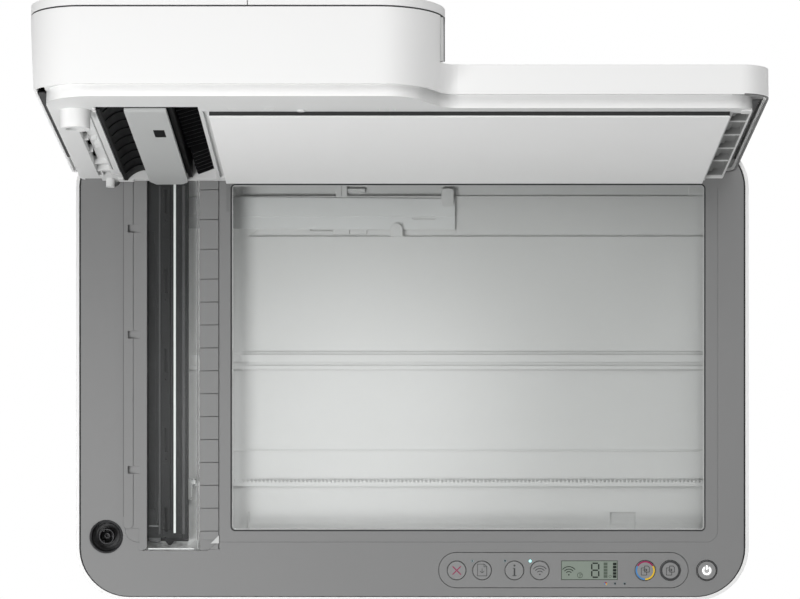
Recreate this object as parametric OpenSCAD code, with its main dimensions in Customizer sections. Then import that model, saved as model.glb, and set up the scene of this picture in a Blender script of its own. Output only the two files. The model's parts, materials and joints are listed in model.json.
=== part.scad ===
// Inkjet all-in-one: print base, flatbed scanner and a lid that carries a document feeder.
// Axes: X across (left negative), Y front to rear (front negative), Z up from the table.

/* [Body] */
// Width of the white housing
body_w = 424; // [422:1:426]
// Depth of the machine with the lid closed, feeder front to rear wall
body_d = 332; // [330:1:336]
// Height of the grey scanner panel above the table
panel_z = 140; // [138:1:144]
// Radius of the front corners in plan
front_r = 33.5; // [28:0.5:40]
// Wall of the white housing
wall = 2; // [1.6:0.2:2.4]
// Gap between housing and grey panel
shadow_gap = 1; // [0.6:0.1:1.4]

/* [Scanner] */
// Width of the flatbed window
window_w = 299.5; // [297:0.5:301]
// Depth of the flatbed window
window_d = 219; // [216:0.5:220]
// X of the left edge of the window
window_x = -114.6; // [-116:0.2:-113]
// Y of the front edge of the window
window_y = -120; // [-121:0.5:-118]
// Thickness of the glass
glass_t = 3; // [2:0.5:3]
// Lip of the panel over the glass
glass_lip = 0.8; // [0.6:0.1:1.2]
// Travel of the sensor carriage
scan_travel = 333; // [300:1:333]

/* [Lid] */
// Angle of the lid from closed to resting open
lid_open = 98.2; // [0:0.1:98.2]
// Height of the hinge axis above the panel
hinge_h = 9.5; // [9:0.1:10]
// Y of the hinge axis
hinge_y = 107; // [106.5:0.1:107.5]
// Height of the lower rim of the lid above the panel
rim_h = 9.2; // [8:0.2:10]
// Height of the plain part of the lid
lid_t = 17; // [15:0.5:19]
// Height of the feeder part of the lid
feeder_t = 44; // [40:0.5:46]
// Thickness of the cover on top of the feeder
cover_t = 6; // [5:0.5:7]
// Wall of the lid
lid_wall = 2.4; // [2:0.2:3]

/* [Print engine] */
// Travel of the print carriage
print_travel = 256; // [200:1:256]
// Diameter of the carriage guide rod
rod_d = 8; // [8:1:8]
// Diameter of the feed roller sleeves
feed_d = 14; // [14:1:14]

/* [Hidden] */
$fn = 96;

// ---- shared places ----
pz = panel_z;
body_x = body_w / 2;
body_front = -163.5;
feeder_y0 = -175;
body_rear = feeder_y0 + body_d;
main_rear = 127;
panel_x = body_x - wall - shadow_gap;
panel_front = body_front + wall + shadow_gap - 0.5;
panel_rear = main_rear - wall - shadow_gap;
deck_z = pz - 12;
foot_h = 3;
window_x1 = window_x + window_w;
window_y1 = window_y + window_d;
glass_z = pz - glass_lip - glass_t;
strip_x0 = -167.3;
strip_x1 = -135.7;
strip_y0 = -131.5;
strip_y1 = 118;
coupling_x = -193;
coupling_y = -123.5;
bed_z = pz - 21;
bed_top = bed_z + 3.4;
sensor_x = -154.5;
sensor_w = 25.6;
carriage_z = pz - 14;
gear_m = 0.8;
rack_pitch_y = -88.9;
pinion_n = 12;
pinion_y = rack_pitch_y + gear_m * pinion_n / 2;
ruler_y = 39;
ruler_step = 14.45;
lid_x0 = -213.8;
lid_lean = 3;
feeder_x0 = lid_x0 - lid_lean;
lid_edge = 1.3;
lid_x1 = 203;
feeder_x1 = 18.4;
feeder_r = 39;
lid_y0 = -144;
lid_y1 = 113;
lid_rim = pz + rim_h;
lid_top = lid_rim + lid_t;
feeder_top = lid_rim + feeder_t;
cover_gap = 0.9;
liner_z = pz + 3.6;
hinge_z = pz + hinge_h;
guide_mid = -10;
button_y = -144.7;
button_travel = 0.8;
button_gap = 0.35;
door_x0 = -128;
door_x1 = 152;
door_z0 = 66;
door_z1 = 118;
door_y = body_front + 5.4;
door_pin = 3;
mouth_z0 = 22;
rod_y = 18;
rod_z = 72;
belt_y = 15;
belt_z = 90;
pulley_r = 4;
idler_x = 200;
motor_x = -186;
feed_y = 36;
feed_z = 46;
paper_z = feed_z + feed_d / 2;
out_y = -58;
out_z = 49.2;
star_z = out_z + 4.7 + 5.2;
chute_tilt = 30;
chute_y = 147;
chute_l = 112;

// ---- general shapes ----
module block(x, y, z) {
    translate([x[0], y[0], z[0]])
        cube([x[1] - x[0], y[1] - y[0], z[1] - z[0]]);
}

// Flat rectangle with the same radius at all four corners
module rounded(x, y, r) {
    translate([x[0], y[0] + r]) square([x[1] - x[0], y[1] - y[0] - 2 * r]);
    translate([x[0] + r, y[0]]) square([x[1] - x[0] - 2 * r, y[1] - y[0]]);
    for (cx = [x[0] + r, x[1] - r], cy = [y[0] + r, y[1] - r])
        translate([cx, cy]) circle(r);
}

// Flat rectangle with one radius along the front and another along the rear
module rounded_front(x, y, rf, rr) {
    translate([x[0], y[0] + rf]) square([x[1] - x[0], y[1] - y[0] - rf - rr]);
    translate([x[0] + rf, y[0]]) square([x[1] - x[0] - 2 * rf, 2 * rf]);
    translate([x[0] + rr, y[1] - 2 * rr]) square([x[1] - x[0] - 2 * rr, 2 * rr]);
    for (cx = [x[0] + rf, x[1] - rf])
        translate([cx, y[0] + rf]) circle(rf);
    for (cx = [x[0] + rr, x[1] - rr])
        translate([cx, y[1] - rr]) circle(rr);
}

module slab(z) {
    translate([0, 0, z[0]]) linear_extrude(z[1] - z[0]) children();
}

module rod_x(d, x, y, z) {
    translate([x[0], y, z]) rotate([0, 90, 0]) cylinder(d = d, h = x[1] - x[0]);
}

module rod_y(d, x, y, z) {
    translate([x, y[0], z]) rotate([-90, 0, 0]) cylinder(d = d, h = y[1] - y[0]);
}

module rod_z(d, x, y, z) {
    translate([x, y, z[0]]) cylinder(d = d, h = z[1] - z[0]);
}

// Turns what is drawn in the closed lid's place to the resting, open place
module on_lid() {
    translate([0, hinge_y, hinge_z])
        rotate([-lid_open, 0, 0])
            translate([0, -hinge_y, -hinge_z])
                children();
}

// ---- involute gear outline ----
function inv_point(rb, t) = [rb * (cos(t) + t * PI / 180 * sin(t)), rb * (sin(t) - t * PI / 180 * cos(t))];
function turn(p, a) = [p[0] * cos(a) - p[1] * sin(a), p[0] * sin(a) + p[1] * cos(a)];
function roll_to(rb, r) = r <= rb ? 0 : sqrt(r * r / (rb * rb) - 1) * 180 / PI;

module gear_outline(m, n, pa, play) {
    rp = m * n / 2;
    rb = rp * cos(pa);
    ra = rp + 0.9 * m;
    rr = rp - 1.15 * m;
    tp = roll_to(rb, rp);
    pp = inv_point(rb, tp);
    half = 90 / n - play / rp * 90 / PI + atan2(pp[1], pp[0]);
    t0 = roll_to(rb, rr);
    t1 = roll_to(rb, ra);
    steps = 5;
    flank = [for (i = [0:steps]) turn(inv_point(rb, t0 + (t1 - t0) * i / steps), -half)];
    root = turn([rr, 0], -half);
    tooth = concat([root], flank, [for (i = [steps:-1:0]) [flank[i][0], -flank[i][1]]], [[root[0], -root[1]]]);
    polygon([for (k = [0:n - 1], p = tooth) turn(p, k * 360 / n)]);
}

// ---- base ----
module body_plan(inset) {
    rounded_front([-body_x + inset, body_x - inset], [body_front + inset, main_rear - inset],
        front_r - inset, 30 - inset);
}

module rear_plan(inset) {
    rounded([-200 + inset, 200 - inset], [60, body_rear - inset], 18 - inset);
}

module base_tray() {
    color("#3a3b3d") {
        difference() {
            slab([foot_h, 20]) {
                body_plan(wall + 0.3);
                rear_plan(wall + 0.3);
            }
            slab([foot_h + 2.5, 21]) {
                body_plan(wall + 2.5);
                rear_plan(wall + 2.5);
            }
            block([door_x0 + 1, door_x1 - 1], [body_front, body_front + 12], [mouth_z0 - 6, 21]);
        }
        // stiffening ribs across the floor
        for (x = [-150, -60, 30, 90])
            block([x, x + 2], [-150, 56], [foot_h + 2.5, 15]);
        for (y = [-100, -30, 50])
            block([-205, 118], [y, y + 2], [foot_h + 2.5, 13]);
        // rails that carry the output tray
        for (x = [door_x0 + 3, door_x1 - 7])
            block([x, x + 4], [-155, -48], [foot_h + 2.5, mouth_z0 - 0.3]);
        // ears that carry the ink door's pins
        for (x = [door_x0 - 6, door_x1 + 0.8])
            difference() {
                block([x, x + 5.2], [-161, -154.5], [foot_h + 2, door_z0 + 7]);
                rod_x(door_pin + 0.12, [x - 1, x + 6], door_y, door_z0 + 3.5);
            }
        // posts under the side frames
        for (x = [-172, 160], y = [-8, 52])
            block([x, x + 10], [y, y + 8], [foot_h + 2.5, 30]);
    }
}

module side_housing() {
    color("#f2f2f0")
        difference() {
            union() {
                slab([foot_h + 1, deck_z]) {
                    body_plan(0);
                    rear_plan(0);
                }
                slab([deck_z - 1, pz]) body_plan(0);
            }
            // hollow under the deck
            slab([foot_h, deck_z - 2]) {
                body_plan(wall);
                rear_plan(wall);
            }
            // hollow for the scanner panel
            slab([deck_z - 3, pz + 1]) body_plan(wall);
            // mouth for the paper and opening behind the ink door
            slab_front([door_x0, door_x1], [mouth_z0 - 4, door_z1], 6);
            // rear paper slot
            block([-113, 113], [chute_y - 19, chute_y + 6], [deck_z - 5, deck_z + 1]);
            // power inlet, usb and vents in the rear wall
            block([159.7, 180.3], [body_rear - 5, body_rear + 5], [21.7, 38.3]);
            block([-184.3, -171.7], [body_rear - 5, body_rear + 5], [23.3, 36.3]);
            for (x = [-140:7:-91])
                block([x, x + 3], [body_rear - 5, body_rear + 5], [24, 50]);
            // finger scallops at the sides, under the scanner
            for (s = [-1, 1])
                translate([s * (body_x + 11), -60, 112])
                    rotate([0, 90, 0])
                        cylinder(r = 26, h = 20, center = true);
        }
}

// Opening through the front wall with rounded corners
module slab_front(x, z, r) {
    translate([0, body_front + 8, 0])
        rotate([90, 0, 0])
            linear_extrude(20)
                rounded(x, z, r);
}

// Four feet at the corners, and one that keeps the middle of the wide floor from sagging
module rubber_feet() {
    color("#1c1c1c")
        for (p = [[-170, -125], [170, -125], [-170, 110], [170, 110], [0, 0]])
            translate([p[0], p[1], 0]) cylinder(r1 = 8, r2 = 9, h = foot_h);
}

module scanner_panel() {
    color("#7f8080")
        difference() {
            union() {
                slab([pz - 2.5, pz]) panel_plan(0);
                difference() {
                    slab([bed_z, pz - 1]) panel_plan(0);
                    slab([bed_z - 1, pz]) panel_plan(2);
                }
                // glass shelf under the plate
                difference() {
                    block([-186, 192], [window_y - 7, window_y1 + 7], [glass_z + 0.6, pz - 1]);
                    block([-183.5, 189.5], [window_y - 20, window_y1 + 30], [glass_z - 1, glass_z + glass_t]);
                }
                raised_strip();
                // seat for the control strip and the buttons
                slab([pz - 5, pz - 1])
                    intersection() {
                        panel_plan(1);
                        translate([13, -158]) square([193, 30]);
                    }
                // hub round the feeder coupling
                rod_z(26, coupling_x, coupling_y, [pz - 14, pz - 1]);
            }
            // flatbed window, sharp at the glass
            slab([glass_z - 1, pz + 1])
                rounded([window_x, window_x1], [window_y, window_y1], 3);
            block([window_x - 3.5, window_x1 + 3.5], [window_y - 3.5, window_y1 + 3.5],
                [glass_z - 1, glass_z + glass_t]);
            // feeder window
            block([strip_x0, strip_x1], [strip_y0, strip_y1], [glass_z - 1, pz + 2]);
            block([strip_x0 - 1.5, strip_x1 + 1.5], [strip_y0 - 1.5, strip_y1 + 1.5],
                [glass_z - 1, glass_z + glass_t]);
            // shallow landing at the front end of the feeder window
            slab([pz - 1, pz + 2])
                polygon([[strip_x0, strip_y0 + 1], [strip_x0 - 3, strip_y0 - 0.8], [-129, strip_y0 - 0.8],
                    [-122.5, strip_y0 + 4.4], [-122.5, strip_y0 + 6], [strip_x0, strip_y0 + 6]]);
            ramp_cut();
            footprint_line();
            // three pockets in the raised strip, each with a sloping floor
            for (y = [-81.3, 3.9, 70.7])
                translate([0, y + 2.35, 0])
                    rotate([90, 0, 0])
                        linear_extrude(4.7)
                            polygon([[-179.3, pz - 1.3], [-171.4, pz + 0.6], [-171.4, pz + 3], [-179.3, pz + 3]]);
            // recess for the control strip, bores for the buttons
            slab([pz - 2, pz + 1]) strip_plan(-0.35);
            for (b = BUTTONS)
                rod_z(b[1] + 2 * button_gap, b[0], button_y, [pz - 6, pz + 1]);
            for (l = LIGHTS)
                rod_z(l[2] + 0.1, l[0], l[1], [pz - 6, pz + 1]);
            // coupling hole
            rod_z(19.4, coupling_x, coupling_y, [pz - 20, pz + 1]);
            rod_z(21, coupling_x, coupling_y, [pz - 1.2, pz + 1]);
            // hole for the lid's locating peg
            slab([pz - 4, pz + 1]) rounded([-193, -184], [97.2, 107.5], 4);
            // screw holes that hold the panel to the base
            for (x = [-150, 150])
                rod_z(3.2, x, panel_rear - 8, [pz - 3, pz + 1]);
        }
}

// Two low steps along the outer side of the feeder window
module raised_strip() {
    rear = panel_rear - 3;
    slab([pz - 1, pz + 1.3])
        rounded([-181.9, -176], [-118.2, rear], 2.5);
    block([-177, strip_x0], [-118.2, rear], [pz - 1, pz + 0.6]);
    block([-172.3, strip_x0], [-132, -117], [pz - 1, pz + 0.6]);
}

// Slope that lifts the page from the feeder window to the panel, with the fine lines across it
module ramp_cut() {
    rear = panel_rear - 3;
    translate([0, rear, 0])
        rotate([90, 0, 0])
            linear_extrude(rear - strip_y0)
                polygon([[strip_x1 - 0.1, pz - 0.4], [-135, pz - 0.4], [-134.9, pz - 1.3], [-134.4, pz - 1.3],
                    [-134.2, pz - 1], [-122.3, pz - 0.05], [-122.2, pz - 0.9], [-121.5, pz - 0.9],
                    [-121.4, pz + 1], [strip_x1 - 0.1, pz + 1]]);
    for (k = [-1:-1:-3])
        ruler_line(ruler_y - 4.35 * k - ruler_step * k);
    for (k = [0:11])
        ruler_line(ruler_y - ruler_step * k);
}

module ruler_line(y) {
    translate([0, y, 0])
        slab([pz - 1.4, pz + 1])
            polygon([[-134.2, -0.35], [-134.2, 0.05], [-122.3, 0.2], [-122.3, -0.2]]);
}

// Fine groove round the place where the closed lid's liner rests
module footprint_line() {
    x = [-181, 192.8];
    y = [-127, 140];
    slab([pz - 0.15, pz + 1])
        difference() {
            rounded(x, y, 7.5);
            rounded([x[0] + 0.3, x[1] - 0.3], [y[0] + 0.3, y[1]], 7.2);
            // the groove stops short of the feeder window and of the hinges
            translate([-184, -117]) square([8, 260]);
            translate([-172, -140]) square([44.5, 260]);
            translate([-220, 96]) square([440, 60]);
        }
}

module panel_plan(inset) {
    rounded_front([-panel_x + inset, panel_x - inset], [panel_front + inset, panel_rear - inset],
        front_r - 3 - inset, 27 - inset);
}

module glass(x, y) {
    color("#b9d3cc", 0.35)
        block(x, y, [glass_z, glass_z + glass_t]);
}

module platen_glass() {
    glass([window_x - 3.4, window_x1 + 3.4], [window_y - 3.4, window_y1 + 3.4]);
}

module feeder_glass() {
    glass([strip_x0 - 1.4, strip_x1 + 1.4], [strip_y0 - 1.4, strip_y1 + 1.4]);
}

// Shallow well that the sensor travels over, with its rack, ledges and ribs
module scan_bed() {
    color("#d9dbdb") {
        difference() {
            slab([bed_z, pz - 8]) panel_plan(2.3);
            slab([bed_top, pz])
                intersection() {
                    panel_plan(4);
                    translate([-186, -134]) square([392, 250]);
                }
            slab([bed_top, pz])
                intersection() {
                    panel_plan(4);
                    translate([-230, -170]) square([460, 34]);
                }
            slab([bed_top, pz])
                intersection() {
                    panel_plan(4);
                    translate([-230, -170]) square([42, 300]);
                }
            // clearance for the feeder coupling's shaft
            rod_z(30, coupling_x, coupling_y, [bed_z - 1, pz]);
            // channel at the front right
            block([125.5, 141.4], [-134, -109], [bed_top - 1.5, bed_top + 1]);
            // lower floor in front of the cable and to its right
            slab([bed_top - 1.5, bed_top + 1])
                polygon([[-104, 66.1], [205, 66.1], [205, 91], [27.4, 91], [27.4, 70.2], [-98, 70.2]]);
            // lowest floor behind the cable
            block([-112, 175.6], [91.8, 116], [bed_top - 2.6, bed_top + 1]);
            block([175, 198], [91.8, 109], [bed_top - 2, bed_top + 1]);
            block([27.4, 205], [90, 116], [bed_top - 1.5, bed_top + 1]);
            // slot beside the cable
            block([-64.9, -50.3], [69.6, 70.9], [bed_top - 2.4, bed_top + 1]);
        }
        // ledges that carry the sensor on its way across
        block([-185, 205], [-18.7, -7.2], [bed_top - 0.1, bed_top + 1.4]);
        block([-185, 205], [-13.6, -8.8], [bed_top - 0.1, bed_top + 3]);
        block([-185, 205], [-18.1, -15.8], [bed_top - 0.1, bed_top + 2.6]);
        block([-120, 205], [-70.2, -69.4], [bed_top - 0.1, bed_top + 0.5]);
        rack();
        // wedge near the front edge
        slab([bed_top - 0.1, bed_top + 2.4])
            polygon([[-104.9, -133], [-103.5, -133], [-103.6, -108.9], [-104.2, -108.9]]);
        // rib with a groove along it, and small blocks round the cable
        difference() {
            block([-48.4, -41.4], [91.6, 117], [bed_z + 0.5, bed_top + 0.8]);
            block([-45.1, -44.7], [91, 115], [bed_top + 0.2, bed_top + 2]);
        }
        block([-41.5, -30], [93.9, 96.5], [bed_z + 0.5, bed_top - 0.4]);
        for (x = [-50, -39])
            block([x, x + 10], [67.6, 70.3], [bed_top - 1.6, bed_top - 0.5]);
        cable_clips();
    }
}

// Two clips that hold the flat cable down
module cable_clips() {
    block([18.5, 26.2], [91.6, 96.5], [bed_z + 0.5, bed_top + 1.2]);
    slab([bed_top + 1.1, bed_top + 2])
        rounded([18.5, 26.2], [84.7, 96.5], 2);
    slab([bed_top + 1.1, bed_top + 2])
        translate([-9.9, 70.5]) circle(3.8);
    block([-13.7, -6.1], [66, 70.2], [bed_top - 1.6, bed_top + 2]);
}

module rack() {
    teeth = 137;
    pitch = PI * gear_m;
    half_w = pitch / 4 - 0.09;
    slope = tan(25);
    tip = 0.72;
    root = 0.92;
    x0 = sensor_x - 2 * pitch;
    x1 = x0 + teeth * pitch;
    translate([0, 0, bed_top - 0.1])
        linear_extrude(3.2)
            polygon(concat(
                [for (k = [0:teeth - 1], p = [
                    [-half_w - slope * root, -root],
                    [-half_w + slope * tip, tip],
                    [half_w - slope * tip, tip],
                    [half_w + slope * root, -root]])
                    [x0 + (k + 0.5) * pitch + p[0], rack_pitch_y + p[1]]],
                [[x1, rack_pitch_y - root],
                 [x1, rack_pitch_y - 3.4],
                 [x0, rack_pitch_y - 3.4],
                 [x0, rack_pitch_y - root]]));
}

module coupling_cup() {
    color("#161616")
        translate([coupling_x, coupling_y, 0])
            rotate_extrude()
                polygon([[4.9, pz - 13], [9.6, pz - 13], [9.6, pz - 1.2], [10.4, pz - 1.2], [10.4, pz + 0.6],
                    [9.9, pz + 0.9], [9.3, pz + 0.4], [9.2, pz - 11.4], [7.9, pz - 11.4], [7.9, pz - 10.6],
                    [6, pz - 10.6], [6, pz - 11.4], [4.9, pz - 11.4]]);
}

module feeder_drive() {
    color("#2b2b2b")
        difference() {
            rod_z(9.6, coupling_x, coupling_y, [pz - 19, pz - 3]);
            difference() {
                rod_z(8.4, coupling_x, coupling_y, [pz - 17, pz]);
                // keys inside the tube, and the pin at its foot
                for (a = [0:120:240])
                    translate([coupling_x, coupling_y, 0])
                        rotate([0, 0, a])
                            block([3.3, 5], [-0.7, 0.7], [pz - 18, pz - 5]);
                rod_z(3.8, coupling_x, coupling_y, [pz - 18, pz - 10]);
            }
            rod_z(2, coupling_x, coupling_y, [pz - 12, pz - 9]);
        }
}

// ---- control strip ----
BUTTONS = [
    [28.0, 11.6], [44.0, 11.6], [64.4, 11.6], [80.4, 11.6], [146.8, 12.4], [162.6, 12.4], [185.6, 12.6]
];
LIGHTS = [[37.9, -138.8, 1.6], [58.5, -138.7, 1.6], [74.3, -138.8, 1.6], [121.9, -153, 1.4], [127.8, -153, 1.4],
    [133.9, -153, 1.4]];
display_x = [94, 129.4];
display_y = [-150.6, -138.6];

module strip_plan(inset) {
    rounded([16.8 + inset, 173.8 - inset], [-155.5 + inset, -133.6 - inset], 10.9 - inset);
}

module control_strip() {
    color("#747676")
        difference() {
            slab([pz - 2, pz + 0.1]) strip_plan(0);
            for (k = [0:5])
                rod_z(BUTTONS[k][1] + 2 * button_gap, BUTTONS[k][0], button_y, [pz - 3, pz + 1]);
            for (l = LIGHTS)
                rod_z(l[2] + 0.1, l[0], l[1], [pz - 3, pz + 1]);
            block([display_x[0] - 0.1, display_x[1] + 0.1], [display_y[0] - 0.1, display_y[1] + 0.1],
                [pz - 1.6, pz + 1]);
        }
}

module display() {
    color("#8c9489")
        block(display_x, display_y, [pz - 1.6, pz + 0.05]);
}

module indicator_lights() {
    color("#bfe6ee")
        for (l = LIGHTS)
            rod_z(l[2], l[0], l[1], [pz - 6, pz + 0.1]);
}

// Round key: a cap that runs in the panel and a wider foot that keeps it in
module button(index, tint) {
    b = BUTTONS[index];
    color(tint)
        translate([b[0], button_y, 0])
            rotate_extrude()
                polygon([[0, pz - 8.4], [b[1] / 2 + 0.8, pz - 8.4], [b[1] / 2 + 0.8, pz - 5.2], [b[1] / 2, pz - 5.2],
                    [b[1] / 2, pz + 0.6], [b[1] / 2 - 0.4, pz + 1], [0, pz + 1]]);
}

module button_cancel() button(0, "#7a7c7c");
module button_resume() button(1, "#7a7c7c");
module button_info() button(2, "#7a7c7c");
module button_wireless() button(3, "#7a7c7c");
module button_color_copy() button(4, "#5a5c5c");
module button_black_copy() button(5, "#3c3c3e");
module button_power() button(6, "#6a6c6c");

// ---- electronics ----
module main_board() {
    color("#2f6b46")
        block([-204, -202.4], [-90, 70], [24, 100]);
    // tail of the board with the data socket at the rear wall
    color("#2f6b46")
        block([-192, -164], [118, 146], [22, 23.6]);
    color("#b8bcc0")
        difference() {
            block([-184, -172], [138, body_rear - 0.5], [23.6, 36]);
            block([-182.8, -173.2], [145, body_rear + 1], [25.6, 34.8]);
        }
    color("#303134") {
        block([-202.4, -199], [-40, -14], [56, 82]);
        block([-202.4, -197], [20, 44], [40, 52]);
    }
    color("#d8d8d4") {
        for (y = [-80:16:-48])
            block([-202.4, -195], [y, y + 11], [84, 94]);
        block([-202.4, -193], [50, 66], [26, 38]);
    }
    color("#b0b4b8")
        for (y = [-70, -60, 8])
            translate([-202.4, y, 40]) rotate([0, 90, 0]) cylinder(d = 7, h = 9);
}

module power_supply() {
    color("#26272a")
        difference() {
            block([128, 190], [64, 139], [8, 42]);
            for (y = [76:8:124])
                block([127, 129.2], [y, y + 3], [14, 36]);
        }
}

module power_inlet() {
    color("#17181a")
        difference() {
            union() {
                block([160, 180], [body_rear - 16, body_rear - 0.5], [22, 38]);
                block([157, 183], [body_rear - wall - 2, body_rear - wall - 0.1], [20.5, 40]);
            }
            slab_rear([162.5, 177.5], [25, 35], 4.9, 13);
        }
    color("#c9ccd0")
        for (x = [166, 174])
            rod_y(2.2, x, [body_rear - 13, body_rear - 3], 30);
}

// Pocket from the rear with rounded ends
module slab_rear(x, z, r, depth) {
    translate([0, body_rear + 1, 0])
        rotate([90, 0, 0])
            linear_extrude(depth)
                rounded(x, z, r);
}

// ---- print engine ----
module carriage_rail() {
    color("#a9adb2") {
        difference() {
            union() {
                block([-200, 207], [24, 26], [58, 106]);
                block([-200, 207], [24, 40], [104, 106]);
                for (x = [-172, 168])
                    block([x, x + 2], [-66, 24.5], [30, 106]);
                for (x = [-172, 160])
                    block([x, x + 10], [-8, 0], [30, 32]);
            }
            rod_y(10, motor_x, [20, 30], belt_z);
            rod_y(4.2, idler_x, [20, 30], belt_z);
            // room for the feed gear and the belt
            block([-201, -173], [23, 27], [57, 71]);
            for (x = [-172, 168]) {
                block([x - 1, x + 3], [13.5, 22.6], [83, 97]);
                block([x - 1, x + 3], [-67, -29], [66, 107]);
                rod_x(5.1, [x - 1, x + 3], out_y, out_z);
                rod_x(rod_d, [x - 1, x + 3], rod_y, rod_z);
                block([x - 1, x + 3], [-30, 12], [42, 110]);
            }
            for (x = [-120:40:120])
                translate([x, 20, 84]) rotate([-90, 0, 0]) cylinder(d = 14, h = 10);
        }
        // position strip on its two hooks
        block([-198, 198], [21.6, 21.9], [97, 103]);
        for (x = [-200, 196])
            block([x, x + 4], [21.2, 24.1], [96, 103.9]);
    }
}

module guide_rod() {
    color("#d7dadd")
        rod_x(rod_d, [-180, 180], rod_y, rod_z);
}

// Closed toothed loop round the two pulleys
module drive_belt() {
    color("#1d1d1d")
        translate([0, belt_y, belt_z])
            rotate([-90, 0, 0])
                linear_extrude(6)
                    difference() {
                        rounded([motor_x - pulley_r - 1.1, idler_x + pulley_r + 1.1],
                            [-pulley_r - 1.1, pulley_r + 1.1], pulley_r + 1.1);
                        rounded([motor_x - pulley_r - 0.1, idler_x + pulley_r + 0.1],
                            [-pulley_r - 0.1, pulley_r + 0.1], pulley_r + 0.1);
                    }
}

module carriage_motor() {
    color("#8d9196")
        difference() {
            rod_y(28, motor_x, [26, 58], belt_z);
            rod_y(2.4, motor_x, [25, 40], belt_z);
        }
}

module pulley(x) {
    color("#e3e4e6") {
        rod_y(2 * pulley_r, x, [belt_y, belt_y + 6], belt_z);
        rod_y(11, x, [belt_y - 1.3, belt_y - 0.3], belt_z);
        rod_y(11, x, [belt_y + 6.3, belt_y + 7.3], belt_z);
        rod_y(2 * pulley_r - 2, x, [belt_y - 0.5, belt_y + 6.5], belt_z);
    }
}

module motor_pulley() {
    pulley(motor_x);
    color("#c7cacd")
        rod_y(2.3, motor_x, [belt_y, 38], belt_z);
}

module idler_pulley() {
    pulley(idler_x);
    color("#c7cacd")
        rod_y(4.1, idler_x, [belt_y, 27.5], belt_z);
}

print_x = 126;
print_w = 76;

// Open-topped holder with two cartridge bays, rod bushings and a belt clamp
module print_carriage() {
    x0 = print_x - print_w / 2;
    x1 = print_x + print_w / 2;
    color("#2c2d30")
        difference() {
            union() {
                block([x0, x1], [-44, 13], [58, 100]);
                for (x = [x0, x1 - 16])
                    block([x, x + 16], [12, 23.2], [66, 79]);
                block([print_x - 8, print_x + 8], [12, 14.7], [93, 97]);
                block([x0 + 6, x1 - 6], [12, 20.8], [98, 100]);
            }
            // two bays, open to the top and the front
            for (x = [x0 + 2.5, print_x + 1])
                block([x, x + 34.5], [-45, 10], [64, 101]);
            // nozzle windows
            for (x = [x0 + 9, print_x + 7.5])
                block([x, x + 21.5], [-20, -2], [57, 65]);
            rod_x(rod_d + 0.12, [x0 - 1, x1 + 1], rod_y, rod_z);
        }
}

module cartridge(x, tint) {
    color("#26272a")
        difference() {
            union() {
                block([x, x + 33.5], [-40, 9.5], [64.2, 96]);
                block([x + 7.6, x + 25.4], [-19.4, -2.6], [58.6, 65]);
                block([x + 4, x + 29.5], [-43.5, -39], [88, 98]);
            }
            for (k = [0:4])
                block([x + 6, x + 27.5], [-41, -39.4], [68 + 3 * k, 69.2 + 3 * k]);
        }
    color(tint)
        block([x + 2.5, x + 31], [-30, 5], [96, 97.2]);
}

module black_cartridge() cartridge(print_x + 1.5, "#111111");
module color_cartridge() cartridge(print_x - print_w / 2 + 3, "#c0508a");

module service_station() {
    color("#9a9c9f") {
        difference() {
            block([98, 158], [-30, 12], [38, 50.5]);
            block([100, 156], [-28, 10], [42, 51]);
        }
        for (x = [95.5, 132])
            difference() {
                block([x + 4.5, x + 24.5], [-19, -3], [42, 57.2]);
                block([x + 6, x + 23], [-17.5, -4.5], [52, 58]);
            }
    }
    color("#1c1c1c")
        block([126, 127.4], [-24, 4], [42, 55.8]);
}

module platen() {
    color("#2a2b2d") {
        difference() {
            block([-166, 96], [-30, 26], [38, 48]);
            block([-164, 94], [-28, 24], [37, 45.5]);
        }
        for (x = [-160:16:88])
            block([x, x + 1.6], [-29, 25], [48, paper_z - 0.6]);
    }
}

feed_gear_n = 54;
feed_pinion_n = 18;
feed_gear_x = -184;
feed_motor_y = feed_y + gear_m * (feed_gear_n + feed_pinion_n) / 2 * cos(35);
feed_motor_z = feed_z + gear_m * (feed_gear_n + feed_pinion_n) / 2 * sin(35);

module feed_roller() {
    color("#c9ccd0")
        rod_x(8, [feed_gear_x, 172], feed_y, feed_z);
    color("#3b3c3e")
        for (x = [-120:48:72])
            rod_x(feed_d, [x, x + 26], feed_y, feed_z);
    color("#e9e7dc")
        translate([feed_gear_x, feed_y, feed_z])
            rotate([0, 90, 0])
                difference() {
                    linear_extrude(6) gear_outline(gear_m, feed_gear_n, 20, 0.16);
                    for (a = [0:60:300])
                        rotate([0, 0, a]) translate([12, 0, -1]) cylinder(d = 8, h = 8);
                }
}

module feed_pinion() {
    color("#e9e7dc")
        translate([feed_gear_x, feed_motor_y, feed_motor_z])
            rotate([0, 90, 0])
                rotate([0, 0, feed_pinion_turn])
                    linear_extrude(6) gear_outline(gear_m, feed_pinion_n, 20, 0.16);
    color("#c7cacd")
        rod_x(3, [feed_gear_x + 5, feed_gear_x + 14], feed_motor_y, feed_motor_z);
}

// In the gear's own plane (seen along X) the gear's tooth 0 points down, so the line of centres
// lies at this angle from it
feed_line = atan2(feed_motor_y - feed_y, -(feed_motor_z - feed_z));
feed_step = 360 / feed_gear_n;
feed_phase = feed_line - floor(feed_line / feed_step) * feed_step;
feed_pinion_turn = feed_line + 180 + 180 / feed_pinion_n + feed_phase * feed_gear_n / feed_pinion_n;

module feed_motor() {
    color("#8d9196")
        difference() {
            union() {
                rod_x(25, [feed_gear_x + 14, feed_gear_x + 38], feed_motor_y, feed_motor_z);
                rod_x(8, [feed_gear_x + 11.4, feed_gear_x + 15], feed_motor_y, feed_motor_z);
            }
            rod_x(3.1, [feed_gear_x + 11, feed_gear_x + 20], feed_motor_y, feed_motor_z);
        }
}

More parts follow.
